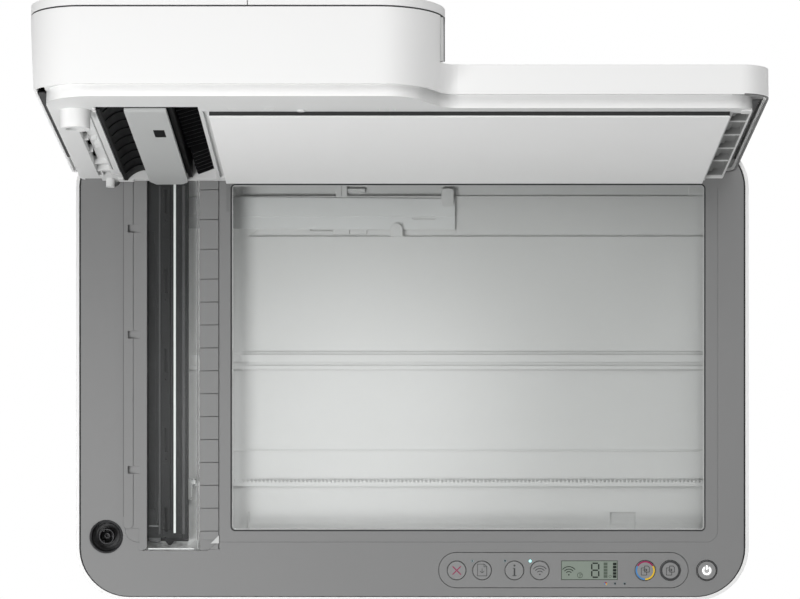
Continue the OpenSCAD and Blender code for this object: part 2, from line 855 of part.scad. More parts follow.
module pinch_rollers() {
    color("#c7cacd")
        rod_x(2, [-168, 124], feed_y + 0.4, paper_z + 4.1);
    color("#4a4b4d")
        for (x = [-120:48:72])
            rod_x(8, [x + 2, x + 24], feed_y + 0.4, paper_z + 4.1);
}

module output_roller() {
    color("#c7cacd")
        rod_x(5, [-176, 172], out_y, out_z);
    color("#3b3c3e")
        for (x = [-120:40:80])
            rod_x(9.4, [x, x + 12], out_y, out_z);
}

module star_wheels() {
    color("#c7cacd")
        rod_x(1.6, [-140, 100], out_y, star_z);
    color("#e4e6e8")
        for (x = [-115:40:85])
            translate([x, out_y, star_z])
                rotate([0, 90, 0])
                    linear_extrude(1)
                        star(5, 12);
}

module star(r, n) {
    polygon([for (k = [0:2 * n - 1]) (k % 2 == 0 ? r : r - 1.2) * [cos(k * 180 / n), sin(k * 180 / n)]]);
}

// ---- rear paper feed ----
module tilted(y, z) {
    translate([0, y, z]) rotate([-chute_tilt, 0, 0]) children();
}

// Sloping back of the paper slot, with the pocket that the support slides in
module paper_chute() {
    color("#3c3d40") {
        tilted(chute_y, deck_z - 3)
            difference() {
                block([-112, 112], [-2.5, 6], [-chute_l - 2, 0]);
                block([-86.5, 86.5], [-0.4, 3.4], [-chute_l - 3, 1]);
                block([-60, 60], [-3, -0.3], [-60, -24]);
            }
        block([-112, 112], [58, 100.5], [paper_z - 4, paper_z - 1.5]);
        for (x = [-112, 109])
            block([x, x + 3], [72, 98], [foot_h + 2.5, paper_z - 3]);
        for (x = [-100:20:100])
            block([x - 1, x + 1], [60, 100], [paper_z - 2, paper_z - 0.4]);
    }
}

module paper_support() {
    color("#4a4b4e")
        tilted(chute_y, deck_z - 3)
            difference() {
                union() {
                    block([-86, 86], [0, 3], [-chute_l, 2.4]);
                    block([-40, 40], [-0.6, 3.6], [2.4, 4.4]);
                }
                for (x = [-60, 20])
                    block([x, x + 40], [-1, 5], [-90, -20]);
            }
}

module paper_guide() {
    color("#55575a")
        tilted(chute_y, deck_z - 3) {
            block([107.5, 109.5], [-11, -2.8], [-34, 2]);
            block([95, 109.5], [-4.6, -2.8], [-34, -8]);
        }
}

// ---- front ----
module front_door() {
    color("#eeeeec")
        difference() {
            union() {
                slab_door([door_x0 + 0.8, door_x1 - 0.8], [door_z0, door_z1 - 0.8], 5.2);
                for (x = [door_x0 + 1, door_x1 - 9])
                    rod_x(7, [x, x + 8], door_y, door_z0 + 3.5);
            }
            // finger recess in the top edge
            translate([12, body_front - 1, door_z1 + 4])
                rotate([-90, 0, 0])
                    cylinder(r = 12, h = 2.4);
        }
    color("#c7cacd")
        for (x = [door_x0 - 5, door_x1 - 3])
            rod_x(door_pin, [x, x + 8], door_y, door_z0 + 3.5);
}

module slab_door(x, z, r) {
    translate([0, body_front + 2.6, 0])
        rotate([90, 0, 0])
            linear_extrude(2.6)
                rounded(x, z, r);
}

tray_x0 = -118;
tray_x1 = 142;

module output_tray() {
    color("#404144")
        difference() {
            union() {
                block([tray_x0, tray_x1], [-161, -52], [mouth_z0, mouth_z0 + 3]);
                block([tray_x0, tray_x1], [-163.4, -159.4], [mouth_z0 - 2.4, mouth_z0 + 6]);
                for (x = [tray_x0, tray_x1 - 2])
                    block([x, x + 2], [-160, -52], [mouth_z0, mouth_z0 + 7]);
            }
            // pocket for the extender
            block([-38.4, 62.4], [-170, -58], [mouth_z0 - 3, mouth_z0 + 2.2]);
            translate([12, -163.4, mouth_z0 + 8])
                rotate([90, 0, 0])
                    cylinder(r = 14, h = 12, center = true);
        }
}

module tray_extender() {
    color("#4a4b4e")
        difference() {
            union() {
                block([-38, 62], [-162.4, -60], [mouth_z0 - 0.6, mouth_z0 + 1.8]);
                block([-30, 54], [-163.4, -161], [mouth_z0 - 2, mouth_z0 + 1.8]);
            }
            slab([mouth_z0 - 2, mouth_z0 + 3]) rounded([-10, 34], [-150, -120], 6);
        }
}

// ---- scanner carriage ----
module scan_carriage() {
    x0 = sensor_x - sensor_w / 2;
    x1 = sensor_x + sensor_w / 2;
    color("#2a2b2d") {
        difference() {
            block([x0, x1], [-126.8, 110], [carriage_z, carriage_z + 6]);
            block([x0 + 1, x1 - 1], [-122, 105.6], [carriage_z + 2, carriage_z + 7]);
            for (y = [-110:30:70])
                block([sensor_x - 8, sensor_x + 8], [y, y + 18], [carriage_z - 1, carriage_z + 3]);
            rod_z(1.6, sensor_x, pinion_y, [carriage_z - 1, carriage_z + 3]);
        }
        // pointed nose at the front end
        slab([carriage_z, carriage_z + 4])
            polygon([[-156.8, -126], [-150.1, -126], [-152.6, -129.4], [-154.4, -129.4]]);
    }
}

module image_sensor() {
    x0 = sensor_x - sensor_w / 2 + 1.1;
    x1 = sensor_x + sensor_w / 2 - 1.1;
    top = glass_z - 0.4;
    color("#1a1b1c")
        difference() {
            union() {
                block([x0, x1], [-121.8, 105.4], [carriage_z + 2, top - 0.6]);
                // the top stands over the carriage's rim
                block([x0 - 1.1, x1 + 1.1], [-124.5, 108], [carriage_z + 6.1, top]);
            }
            // long recess for the electronics, with the label's recess behind it
            block([x0 - 0.4, x0 + 4], [-106.7, 61.7], [top - 1, top + 1]);
            block([x0 - 0.1, x0 + 3.4], [61.7, 69], [top - 0.4, top + 1]);
            // step beside the ridge, and the fine joint of the lens frame
            block([-158.7, -151.5], [-119, 103], [top - 0.5, top + 1]);
            block([-152.9, -152.5], [-119, 103], [top - 1.4, top + 1]);
            for (k = [0:4]) {
                block([-156.2, -154.3], [80.6 - 50.2 * k, 95.6 - 50.2 * k], [top - 2.4, top + 1]);
                block([-156, -154.8], [75.6 - 50.2 * k, 76.8 - 50.2 * k], [top - 1.4, top + 1]);
            }
            // channel of the light bar and the step to its right
            block([-151.2, -149], [-121.5, 103], [top - 2.4, top + 1]);
            block([-149, -145.7], [-121.5, 103], [top - 0.7, top + 1]);
            block([-145.2, x1 + 2], [-125, 109], [top - 0.4, top + 1]);
        }
    color("#e6efe9")
        block([-151.1, -149.1], [-121, 100], [top - 2.5, top - 0.2]);
}

module scan_pinion() {
    color("#e9e7dc") {
        translate([sensor_x, pinion_y, bed_top + 0.4])
            rotate([0, 0, -90])
                linear_extrude(2.8)
                    gear_outline(gear_m, pinion_n, 25, 0.18);
        rod_z(1.5, sensor_x, pinion_y, [bed_top + 0.4, carriage_z + 1.8]);
    }
}

module ribbon_cable() {
    color("#dfe2e2") {
        slab([bed_top, bed_top + 0.4])
            difference() {
                polygon([[-150, 71.2], [27.1, 70.5], [27.1, 90], [-150, 91.4]]);
                rounded([0.1, 14.8], [77, 78.6], 0.8);
            }
        slab([bed_top + 0.4, bed_top + 0.8])
            polygon([[-150, 78.7], [27.1, 78.7], [27.1, 90], [-150, 91.4]]);
    }
}

// ---- lid ----
module lid_plan(inset) {
    rounded_front([feeder_x1 - 40 + inset, lid_x1 - inset], [lid_y0 + inset, lid_y1 - inset],
        16 - inset, 12 - inset);
    feeder_plan(inset);
    s_bend([feeder_x1 - feeder_r, feeder_y0 + feeder_r], feeder_r, 66, lid_y0, 12, inset);
}

module feeder_plan(inset) {
    two_corners([feeder_x0 + inset, feeder_x1 - inset], [feeder_y0 + inset, lid_y1 - inset],
        31 - inset, feeder_r - inset, 12 - inset);
}

// Flat rectangle whose left front, right front and rear corners have three different radii
module two_corners(x, y, left, right, rear) {
    deep = max(left, right);
    translate([x[0], y[0] + deep]) square([x[1] - x[0], y[1] - y[0] - deep - rear]);
    translate([x[0] + left, y[0]]) square([x[1] - x[0] - left - right, deep + 1]);
    translate([x[0], y[0] + left]) square([left + 1, deep - left + 1]);
    translate([x[1] - right - 1, y[0] + right]) square([right + 1, deep - right + 1]);
    translate([x[0] + rear, y[1] - rear - 1]) square([x[1] - x[0] - 2 * rear, rear + 1]);
    translate([x[0] + left, y[0] + left]) circle(left);
    translate([x[1] - right, y[0] + right]) circle(right);
    for (cx = [x[0] + rear, x[1] - rear])
        translate([cx, y[1] - rear]) circle(rear);
}

// Smooth bend from a rounded corner to a straight front that lies further back
module s_bend(c, r1, a, front, r2, inset) {
    // the pieces overlap a little, so that they always join
    join = 0.03;
    n = [sin(a), -cos(a)];
    t = (front - r2 - c[1] + (r1 + r2) * cos(a)) / sin(a);
    c2 = c + (r1 + r2) * n + t * [cos(a), sin(a)] + [0, join];
    difference() {
        polygon([c, c + (r1 - inset - join) * n, c2 - (r2 + inset - join) * n, c2,
            [c2[0], c[1] + 60], [c[0], c[1] + 60]]);
        translate(c2) circle(r2 + inset);
    }
}

module rear_slope() {
    // rear wall leans forward from the rim, which keeps it clear of the base when the lid is up
    translate([-230, lid_y1, lid_rim + 6])
        rotate([14, 0, 0])
            cube([460, 40, 80]);
}

// Space outside the feeder's left side, which leans out towards the top
module left_slope() {
    translate([lid_x0, -200, lid_rim])
        rotate([0, -atan(lid_lean / feeder_t), 0])
            translate([-40, 0, -20]) cube([40, 400, 80]);
}

module lug_notches() {
    for (x = HINGE_X)
        block([x - 5.3, x + 5.3], [hinge_y - 5.4, lid_y1 + 5], [pz, hinge_z + 6]);
}

HINGE_X = [-200, 189];

// The feeder cover turns on short knuckles along the feeder's outer edge
cover_hinge_z = feeder_top + 0.4;
knuckle_y = [-112, 46];
knuckle_l = 14;
knuckle_d = 4.4;

module cover_knuckles(d, shift, gap) {
    for (y = knuckle_y)
        rod_y(d, feeder_x0, [y + shift - gap, y + shift + knuckle_l + gap], cover_hinge_z);
}

module lid_shell() {
    color("#f6f6f5")
        on_lid()
            lid_shell_closed();
    color("#c7cacd")
        on_lid() {
            cover_knuckles(knuckle_d, knuckle_l + 0.4, 0);
            cover_knuckles(2, 1, 0);
        }
}

module lid_shell_closed() {
    inner = lid_x0 + lid_edge;
    difference() {
        union() {
            slab([lid_rim, lid_top]) lid_plan(0);
            slab([lid_rim, feeder_top]) feeder_plan(0);
        }
        left_slope();
        intersection() {
            slab([lid_rim - 1, lid_top - lid_wall]) lid_plan(lid_wall);
            block([inner, 230], [-200, 200], [pz, lid_top]);
        }
        // the wall is thinner along its lower edge
        intersection() {
            slab([lid_rim - 1, lid_rim + 1.9]) lid_plan(lid_edge);
            block([inner, 230], [-200, 200], [pz, lid_top]);
        }
        // feeder well, open at the top
        intersection() {
            slab([lid_rim - 1, feeder_top + 1]) feeder_plan(lid_wall);
            block([inner, -94], [-200, 200], [pz, feeder_top + 2]);
        }
        // output bay under the input tray, open to the right
        intersection() {
            slab([lid_top, feeder_top + 1]) feeder_plan(lid_wall);
            block([-96, 30], [-200, 200], [lid_top, feeder_top + 2]);
        }
        block([10, 30], [-150.5, guide_mid + 114], [lid_top, feeder_top + 1]);
        rear_slope();
        lug_notches();
        cover_knuckles(knuckle_d + 0.6, 0, 0.3);
    }
}

module liner_plan(inset) {
    two_corners([-208 + inset, 8.1 - inset], [-166.5 + inset, 110.2 - inset],
        27 - inset, liner_r - inset, 12 - inset);
    rounded([-30 + inset, liner_x1 - inset], [-131 + inset, 109 - inset], 10 - inset);
    s_bend([8.1 - liner_r, liner_r - 166.5], liner_r, 60, -131, 14, inset);
}

module lid_liner() {
    color("#dededd")
        on_lid()
            difference() {
                liner_body();
                // drive socket in the boss
                rod_z(10.8, coupling_x, coupling_y, [pz - 8, pz - 2]);
                // feeder opening
                block([-181, -122.4], [feed_mouth_y, 103.5], [liner_z - 2, lid_rim + 8]);
                // open gaps along both sides
                block([lid_x0 - 1, -208.2], [-155, 50], [lid_rim + 1, lid_rim + 5]);
                block([liner_x1 + 0.2, lid_x1], [-118, 75], [lid_rim + 1, lid_rim + 5]);
                // cable run, open along its outer side
                difference() {
                    block([-195.4, -186.8], [-118, 72], [liner_z - 1, liner_z + 3.4]);
                    cable_bridges();
                }
                difference() {
                    block([-195.6, -193.2], [-112, 68], [liner_z + 3, liner_z + 6]);
                    cable_bridges();
                }
                difference() {
                    block([-195.4, -187.6], [76, 92], [liner_z - 1, liner_z + 6]);
                    block([-193.5, -192.5], [70, 95], [liner_z, liner_z + 6]);
                }
                block([-185.7, -184.9], [-116, 70], [liner_z - 1, liner_z + 1]);
                rod_z(4, -184.6, 87, [liner_z - 1, liner_z + 1.6]);
                // groove between the feeder's wall and the foam pad
                block([-120.2, -117], [-121, 101], [liner_z - 1, liner_z + 1.6]);
                // moulded pockets right of the foam pad, with a bar between each two
                for (k = [0:4]) {
                    y = [right_bar[k] + 0.5, right_bar[k + 1] - 0.5];
                    block([183.6, 193.4], y, [liner_z - 1, liner_z + 3]);
                    block([187, 193.4], y, [liner_z - 1, liner_z + 4.6]);
                }
                // slots along the front edge
                block([-105.4, -101], [-129, -127.6], [liner_z - 1, liner_z + 3]);
                block([-85, -79], [-129, -127.6], [liner_z - 1, liner_z + 3]);
                for (x = [-19.6:4.5:-10.6])
                    block([x, x + 0.8], [-128, -124.5], [liner_z - 1, liner_z + 0.6]);
                lug_notches();
            }
}

// The liner before its openings are cut
module liner_body() {
    plate = liner_z + 2;
    difference() {
        slab([liner_z, lid_rim + 6]) liner_plan(0);
        slab([plate, lid_rim + 7]) liner_plan(liner_wall);
    }
    slab([lid_rim + 2, lid_rim + 4]) liner_ring();
    // boss that covers the feeder's drive coupling
    rod_z(17.6, coupling_x, coupling_y, [pz - 7.2, liner_z + 1]);
    // locating peg near the hinge, on its ledge
    rod_z(5.4, -189.3, 103, [pz - 1.6, liner_z + 1]);
    block([-184.3, -174.7], [98, 108], [liner_z - 1, liner_z + 1]);
    // walls round the feeder's opening
    block([-184, -120], [-140, 106], [liner_z, lid_rim + 2]);
    // cover of the cable run on the left, and the roof of the run
    block([-207, -195.5], [-71, 90], [liner_z - 0.8, liner_z + 1]);
    block([-197, -186], [-119, 101], [liner_z, liner_z + 5]);
    // smooth rail beside the guides
    block([-183.6, -181], [-124, 75], [liner_z - 1, liner_z + 1]);
    block([-182.6, -178], [-131, -128.7], [liner_z - 0.8, liner_z + 1]);
    // rounded tab at the front edge
    rod_z(4.8, -63.9, -124, [liner_z - 0.6, liner_z + 1]);
    // roof over the pockets on the right
    block([182.4, 194], [right_bar[0], right_bar[5] + 2], [liner_z, liner_z + 6]);
    // tab at the right front corner
    block([188, 193.7], [-125.6, -117.4], [liner_z - 0.8, liner_z + 1]);
}

// Small bars across the cable run
module cable_bridges() {
    for (b = [[-191, -188, -70], [-196, -192.6, -30], [-191, -188, -30], [-190.5, -186, -13.5],
        [-190.5, -186, -4], [-196, -193, 10], [-196, -186, 49.4]])
        block([b[0], b[1]], [b[2] - 0.7, b[2] + 0.7], [liner_z + 0.2, liner_z + 7]);
}

right_bar = [-116, -88.8, -46.1, -1.8, 40.1, 93.2];
feed_mouth_y = -134.4;
liner_wall = 0.9;
liner_x1 = 194.4;
liner_r = 23.5;

// Flange that closes the gap between the liner and the shell
module liner_ring() {
    difference() {
        intersection() {
            lid_plan(lid_wall + 0.3);
            translate([lid_x0 + lid_edge + 0.3, -200]) square([500, 400]);
        }
        liner_plan(0.6);
    }
}

module foam_pad() {
    on_lid() {
        color("#2e2f31")
            block([-116.5, 181.5], [-120.5, 101], [pz + 1.2, liner_z]);
        color("#fbfbfa")
            block([-116.5, 181.5], [-120.5, 101], [pz + 0.2, pz + 1.2]);
    }
}

// Two uprights on the panel
module hinge_set() {
    color("#d0d0ce")
        for (x = HINGE_X)
            difference() {
                union() {
                    block([x - 4.5, x + 4.5], [hinge_y - 3.6, hinge_y + 3.6], [pz, hinge_z]);
                    rod_x(9, [x - 4.5, x + 4.5], hinge_y, hinge_z);
                }
                rod_x(4.1, [x - 6, x + 6], hinge_y, hinge_z);
            }
}

module press_plate() {
    low = pz + 1.4;
    color("#c9cbcb")
        on_lid()
            difference() {
                slab([low, low + 2])
                    polygon([[-164.5, -133], [-140.5, -133], [-140.5, 101], [-141.3, 104.5], [-144.5, 110.6],
                        [-160.8, 111.5], [-164.5, 101]]);
                // front end slopes away from the glass
                translate([-170, -129.7, low])
                    rotate([-17, 0, 0])
                        translate([0, -20, -4]) cube([40, 20, 4]);
                block([-150.5, -145.4], [-74.5, -61], [low - 1, low + 4]);
                translate([-150.5, -61, low + 1.4])
                    rotate([7, 0, 0])
                        translate([0, 0, -4]) cube([5.1, 11, 4]);
            }
}

bend_x = -166;
bend_z = pz - 6;
bend_r = 15;

// Black ribbed guides that lead the page down to the window and up again
module feeder_guides() {
    front = feed_mouth_y + 0.3;
    color("#1b1c1d")
        on_lid() {
            difference() {
                block([-180.4, -165], [front, 102], [pz + 2.4, pz + 18]);
                translate([bend_x, -140, bend_z]) rotate([-90, 0, 0]) cylinder(r = bend_r, h = 260);
            }
            // ribs that follow the bend
            for (k = [0:8])
                guide_rib(-120.7 + 24.86 * k);
            // two latches on the edge that meets the window
            for (y = [-64, 40])
                block([-165.2, -163.6], [y, y + 5], [pz + 6, pz + 9.4]);
            // web behind the press plate, and the guide that takes the page up
            block([-166, -139], [front, 102], [pz + 7, pz + 8.5]);
            block([-140, -137.5], [front, 102], [pz + 4.6, pz + 18]);
            block([-140, -122.6], [front, 102], [pz + 16, pz + 18]);
            for (k = [0:11])
                exit_rib(-116 + 11.65 * k);
            for (k = [12:18])
                broad_rib(-116 + 11.65 * k);
            block([-180.4, -122.6], [front, front + 0.8], [pz + 6, pz + 18]);
            // closing plate behind the gap on the outer side and the cable run
            block([-212.1, -180], [-150, 102], [lid_rim + 6.4, pz + 18]);
        }
}

module guide_rib(y) {
    translate([0, y + 0.4, 0])
        rotate([90, 0, 0])
            linear_extrude(0.8)
                difference() {
                    translate([-180, pz + 3]) square([14.6, 12]);
                    translate([bend_x, bend_z]) circle(bend_r - 0.7);
                }
}

// Rib that bends upward from the window and climbs to the foam pad
module exit_rib(y) {
    translate([0, y + 0.5, 0])
        rotate([90, 0, 0])
            linear_extrude(1)
                polygon([[-137.6, pz + 10.5], [-136.3, pz + 7], [-123, pz + 11], [-123, pz + 16.1],
                    [-137.6, pz + 16.1]]);
}

// Broader rib of the rear part, rounded at the end that meets the page
module broad_rib(y) {
    translate([0, y + 1.1, 0])
        rotate([90, 0, 0])
            linear_extrude(2.2)
                polygon([[-134.6, pz + 6.4], [-133.5, pz + 5], [-123, pz + 9], [-123, pz + 16.1],
                    [-134.6, pz + 16.1]]);
}

module feeder_rollers() {
    color("#c7cacd")
        on_lid() rod_y(6, -150, [-128, 96], pz + 32);
    color("#4a4b4d")
        on_lid()
            for (y = [-90, -20, 50])
                rod_y(30, -150, [y, y + 24], pz + 32);
}

module feeder_cover() {
    color("#f4f4f3")
        on_lid()
            difference() {
                union() {
                    intersection() {
                        slab([feeder_top + cover_gap, feeder_top + cover_t]) feeder_plan(0);
                        block([-230, -93], [-200, 200], [pz, feeder_top + 20]);
                    }
                }
                intersection() {
                    slab([feeder_top, feeder_top + cover_t - 2.4]) feeder_plan(2.4);
                    block([-230, -95.4], [-200, 200], [pz, feeder_top + 20]);
                }
                rear_slope();
                cover_knuckles(knuckle_d + 0.6, knuckle_l, 0.7);
                cover_knuckles(2.16, 0, 1);
            }
    color("#c7cacd")
        on_lid()
            difference() {
                cover_knuckles(knuckle_d, 0, 0);
                cover_knuckles(2.16, 0, 1);
            }
}

// Input tray with its frame
module feeder_tray() {
    color("#ececeb")
        on_lid()
            difference() {
                intersection() {
                    slab([feeder_top - 5, feeder_top + cover_t]) feeder_plan(0);
                    block([-92.6, 30], [-200, 200], [pz, feeder_top + 20]);
                }
                // step that sits inside the lid's wall
                difference() {
                    slab([feeder_top - 6, feeder_top + cover_gap]) feeder_plan(-1);
                    slab([feeder_top - 7, feeder_top + 1]) feeder_plan(lid_wall + 0.3);
                }
                // tray floor, lower than the frame
                block([-100, 40], [guide_mid - 109, guide_mid + 109], [feeder_top - 2.6, feeder_top + 20]);
                rear_slope();
            }
}

module page_guide(y, side) {
    color("#d5d5d3")
        on_lid() {
            block([-84, -8], [y - 1, y + 1], [feeder_top - 2.4, feeder_top + cover_t + 1]);
            block([-70, -22], [min(y, y - side * 16), max(y, y - side * 16)], [feeder_top - 2.4, feeder_top - 1]);
        }
}

module front_page_guide() page_guide(guide_mid - 107, -1);
module rear_page_guide() page_guide(guide_mid + 107, 1);

base_tray();
side_housing();
rubber_feet();
scanner_panel();
scan_bed();
platen_glass();
feeder_glass();
coupling_cup();
feeder_drive();
control_strip();
display();
indicator_lights();
button_cancel();
button_resume();
button_info();
button_wireless();
button_color_copy();
button_black_copy();
button_power();
main_board();
power_supply();
power_inlet();
carriage_rail();
guide_rod();
drive_belt();
carriage_motor();
motor_pulley();
idler_pulley();
print_carriage();
black_cartridge();
color_cartridge();
service_station();
platen();
feed_roller();
feed_motor();
feed_pinion();
pinch_rollers();
output_roller();
star_wheels();
paper_chute();
paper_support();
paper_guide();
front_door();
output_tray();
tray_extender();
scan_carriage();
image_sensor();
scan_pinion();
ribbon_cable();
lid_shell();
lid_liner();
foam_pad();
hinge_set();
press_plate();
feeder_guides();
feeder_rollers();
feeder_cover();
feeder_tray();
front_page_guide();
rear_page_guide();
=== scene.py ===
# %% [markdown]
# An inkjet all-in-one seen from straight above with its lid up. The construction comes in as a
# fixed frame of named nodes, at real size and in metres. Everything below dresses those nodes:
# it gives them moulded-plastic, glass and metal finishes, adds the small things that the
# construction leaves out, and lights the machine like a catalogue picture.

# %% the frame
import json
import math
import bmesh
import bpy
from mathutils import Matrix, Vector


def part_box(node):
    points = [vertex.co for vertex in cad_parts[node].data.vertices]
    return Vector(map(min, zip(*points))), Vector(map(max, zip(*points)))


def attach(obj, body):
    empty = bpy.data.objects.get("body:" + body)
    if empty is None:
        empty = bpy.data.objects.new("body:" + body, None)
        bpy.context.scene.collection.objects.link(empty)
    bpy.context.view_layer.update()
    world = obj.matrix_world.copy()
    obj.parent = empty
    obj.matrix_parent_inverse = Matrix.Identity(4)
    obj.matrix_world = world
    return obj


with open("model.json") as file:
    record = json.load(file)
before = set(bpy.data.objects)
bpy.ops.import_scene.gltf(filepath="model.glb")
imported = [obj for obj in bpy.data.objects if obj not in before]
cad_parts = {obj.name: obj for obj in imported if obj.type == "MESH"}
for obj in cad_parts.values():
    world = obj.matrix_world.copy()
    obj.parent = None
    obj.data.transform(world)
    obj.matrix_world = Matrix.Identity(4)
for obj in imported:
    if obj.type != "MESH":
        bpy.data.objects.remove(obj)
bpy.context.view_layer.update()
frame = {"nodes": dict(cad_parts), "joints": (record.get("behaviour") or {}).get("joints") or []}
nodes = frame["nodes"]
MM = 0.001

# %% [markdown]
# The scanner panel is the flat top that the keys, the windows and the closed lid all lie on. Its
# height could be typed in, but it's read from the frame, so that it follows the construction. The
# strip that carries the keys stands a tenth of a millimetre proud of the panel.

# %% the panel's height
STRIP_PROUD = 0.1 * MM
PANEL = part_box("control_strip")[1].z - STRIP_PROUD
PANEL_MM = PANEL / MM
print("panel height", round(PANEL_MM, 2), "mm")

# %% [markdown]
# The lid is modelled standing open. Its details could be drawn at that slant, but they are easier
# to describe as if the lid were closed and flat. So one matrix, built from the lid's own hinge,
# turns closed places into standing ones.

# %% the open lid
hinge = next(j for j in frame["joints"] if j["name"] == "lid_hinge")
hinge_at = Vector(hinge["pos_m"])
lid_angle = math.radians(hinge["range_deg"][1])
OPEN_LID = (Matrix.Translation(hinge_at) @ Matrix.Rotation(-lid_angle, 4, Vector(hinge["axis"]))
            @ Matrix.Translation(-hinge_at))
print("lid stands at", round(math.degrees(lid_angle), 1), "degrees")

# %% [markdown]
# Every finish is a small tree of shader nodes. A tree can be wired one link at a time, but then
# each wire takes a line. Three helpers are shorter: one feeds a socket with a plain value or with
# another node's output, one adds a node and feeds its sockets, and one does a sum.

# %% building node trees
def feed(tree, socket, value):
    if isinstance(value, bpy.types.NodeSocket):
        tree.links.new(value, socket)
    else:
        socket.default_value = value


def add(tree, kind, feeds=None, **settings):
    """Adds a node with its settings. The feeds say what goes into each named or numbered socket."""
    node = tree.nodes.new(kind)
    for key, value in settings.items():
        setattr(node, key, value)
    for key, value in (feeds or {}).items():
        feed(tree, node.inputs[key], value)
    return node


def calculate(tree, operation, *values):
    """Adds a maths node that works on numbers or on other nodes' outputs, and gives its result."""
    return add(tree, "ShaderNodeMath", dict(enumerate(values)), operation=operation).outputs[0]


print("materials before dressing", len(bpy.data.materials))

# %% [markdown]
# An effect that several finishes share is a node group. Copying its nodes into each material would
# work too, but a group is built once and then placed with its own values, as a stamp is. In this
# version of Blender its sockets are made on its interface, each with a kind and a usual value.

# %% an empty group
def new_group(name, inputs, outputs):
    """Gives a group, the node that its values come from and the node that its results go to."""
    group = bpy.data.node_groups.new(name, "ShaderNodeTree")
    for label, kind, value in inputs:
        socket = group.interface.new_socket(label, in_out="INPUT", socket_type=kind)
        socket.default_value = value
    for label, kind in outputs:
        group.interface.new_socket(label, in_out="OUTPUT", socket_type=kind)
    enter = group.nodes.new("NodeGroupInput")
    leave = group.nodes.new("NodeGroupOutput")
    return group, enter, leave


print("groups so far", len(bpy.data.node_groups))

# %% [markdown]
# Moulded plastic is never quite flat. Its mould leaves a fine grain that breaks up the gloss, and
# a slow cloudiness that changes the colour by a percent or two. An image could carry both, but
# noise that is worked out at each point needs no unwrapping and stays sharp at any distance. The
# Bevel node bends the normal near a corner, which then catches the light as a moulded one does.

# %% the moulded grain
CLOUDS = 14.0  # clouds in a metre
GRAIN_HEIGHT = 0.0002  # metres, at full depth
ROUGHNESS_SWING = 0.12


def make_grain_group():
    group, enter, leave = new_group(
        "moulded_grain",
        [("Color", "NodeSocketColor", (0.5, 0.5, 0.5, 1)), ("Cloud", "NodeSocketFloat", 0.03),
         ("Grain size", "NodeSocketFloat", 1800.0), ("Depth", "NodeSocketFloat", 0.15),
         ("Roughness", "NodeSocketFloat", 0.5), ("Edge radius", "NodeSocketFloat", 0.0004)],
        [("Color", "NodeSocketColor"), ("Roughness", "NodeSocketFloat"),
         ("Normal", "NodeSocketVector")])
    given = enter.outputs
    point = add(group, "ShaderNodeTexCoord").outputs["Object"]
    slow = add(group, "ShaderNodeTexNoise", {"Vector": point, "Scale": CLOUDS, "Detail": 3.0})
    fine = add(group, "ShaderNodeTexNoise",
               {"Vector": point, "Scale": given["Grain size"], "Detail": 2.0})
    centred = calculate(group, "SUBTRACT", slow.outputs["Fac"], 0.5)
    swing = calculate(group, "MULTIPLY", centred, given["Cloud"])
    level = calculate(group, "ADD", swing, 1.0)
    tint = add(group, "ShaderNodeHueSaturation", {"Color": given["Color"], "Value": level})
    rough = calculate(group, "MULTIPLY_ADD", centred, ROUGHNESS_SWING, given["Roughness"])
    edge = add(group, "ShaderNodeBevel", {"Radius": given["Edge radius"]}, samples=4)
    bump = add(group, "ShaderNodeBump",
               {"Distance": GRAIN_HEIGHT, "Normal": edge.outputs["Normal"],
                "Strength": given["Depth"], "Height": fine.outputs["Fac"]})
    feed(group, leave.inputs["Color"], tint.outputs["Color"])
    feed(group, leave.inputs["Roughness"], rough)
    feed(group, leave.inputs["Normal"], bump.outputs["Normal"])
    return group


moulded_grain = make_grain_group()
print("grain nodes", len(moulded_grain.nodes))

# %% [markdown]
# Some mouldings show two tones, such as a white sheet bonded to black foam, and some carry painted
# shade and painted light in places. Two pieces would do it, but these mouldings come from the
# construction in one piece. So a mask tells the shader where each tone goes: one group marks what
# lies beyond a level, and one what faces a direction.

# %% masks
FACING_FROM, FACING_TO = 0.25, 0.85  # cosines between which a face fades into the mask


def make_level_group():
    """Gives 1 where a point lies beyond a level along a direction, in the frame at rest."""
    group, enter, leave = new_group(
        "beyond_level",
        [("Direction", "NodeSocketVector", (0, 0, 1)), ("Level", "NodeSocketFloat", 0.0)],
        [("Mask", "NodeSocketFloat")])
    point = add(group, "ShaderNodeTexCoord").outputs["Object"]
    along = add(group, "ShaderNodeVectorMath", {0: point, 1: enter.outputs["Direction"]},
                operation="DOT_PRODUCT")
    beyond = calculate(group, "GREATER_THAN", along.outputs["Value"], enter.outputs["Level"])
    feed(group, leave.inputs["Mask"], beyond)
    return group


def make_facing_group():
    """Gives 1 where a surface faces a direction of the frame at rest, fading to 0 at its side."""
    group, enter, leave = new_group(
        "facing_along", [("Direction", "NodeSocketVector", (0, 0, 1))],
        [("Mask", "NodeSocketFloat")])
    normal = add(group, "ShaderNodeTexCoord").outputs["Normal"]
    along = add(group, "ShaderNodeVectorMath", {0: normal, 1: enter.outputs["Direction"]},
                operation="DOT_PRODUCT")
    fade = add(group, "ShaderNodeMapRange",
               {"Value": along.outputs["Value"], "From Min": FACING_FROM, "From Max": FACING_TO},
               interpolation_type="SMOOTHSTEP")
    feed(group, leave.inputs["Mask"], fade.outputs["Result"])
    return group


beyond_level = make_level_group()
facing_along = make_facing_group()
print("shared groups", [g.name for g in bpy.data.node_groups])

# %% [markdown]
# Nearly every part is injection-moulded plastic, and the recipe is always the same: the grain
# group feeds the colour, the roughness and the normal, and the settings that stay even over the
# piece, such as a clear coat, go straight to the shader. The pressed metal parts use it as well,
# since only their metallic setting differs.

# %% the plastic recipe
COAT_ROUGHNESS = 0.12
CORNER = 0.4


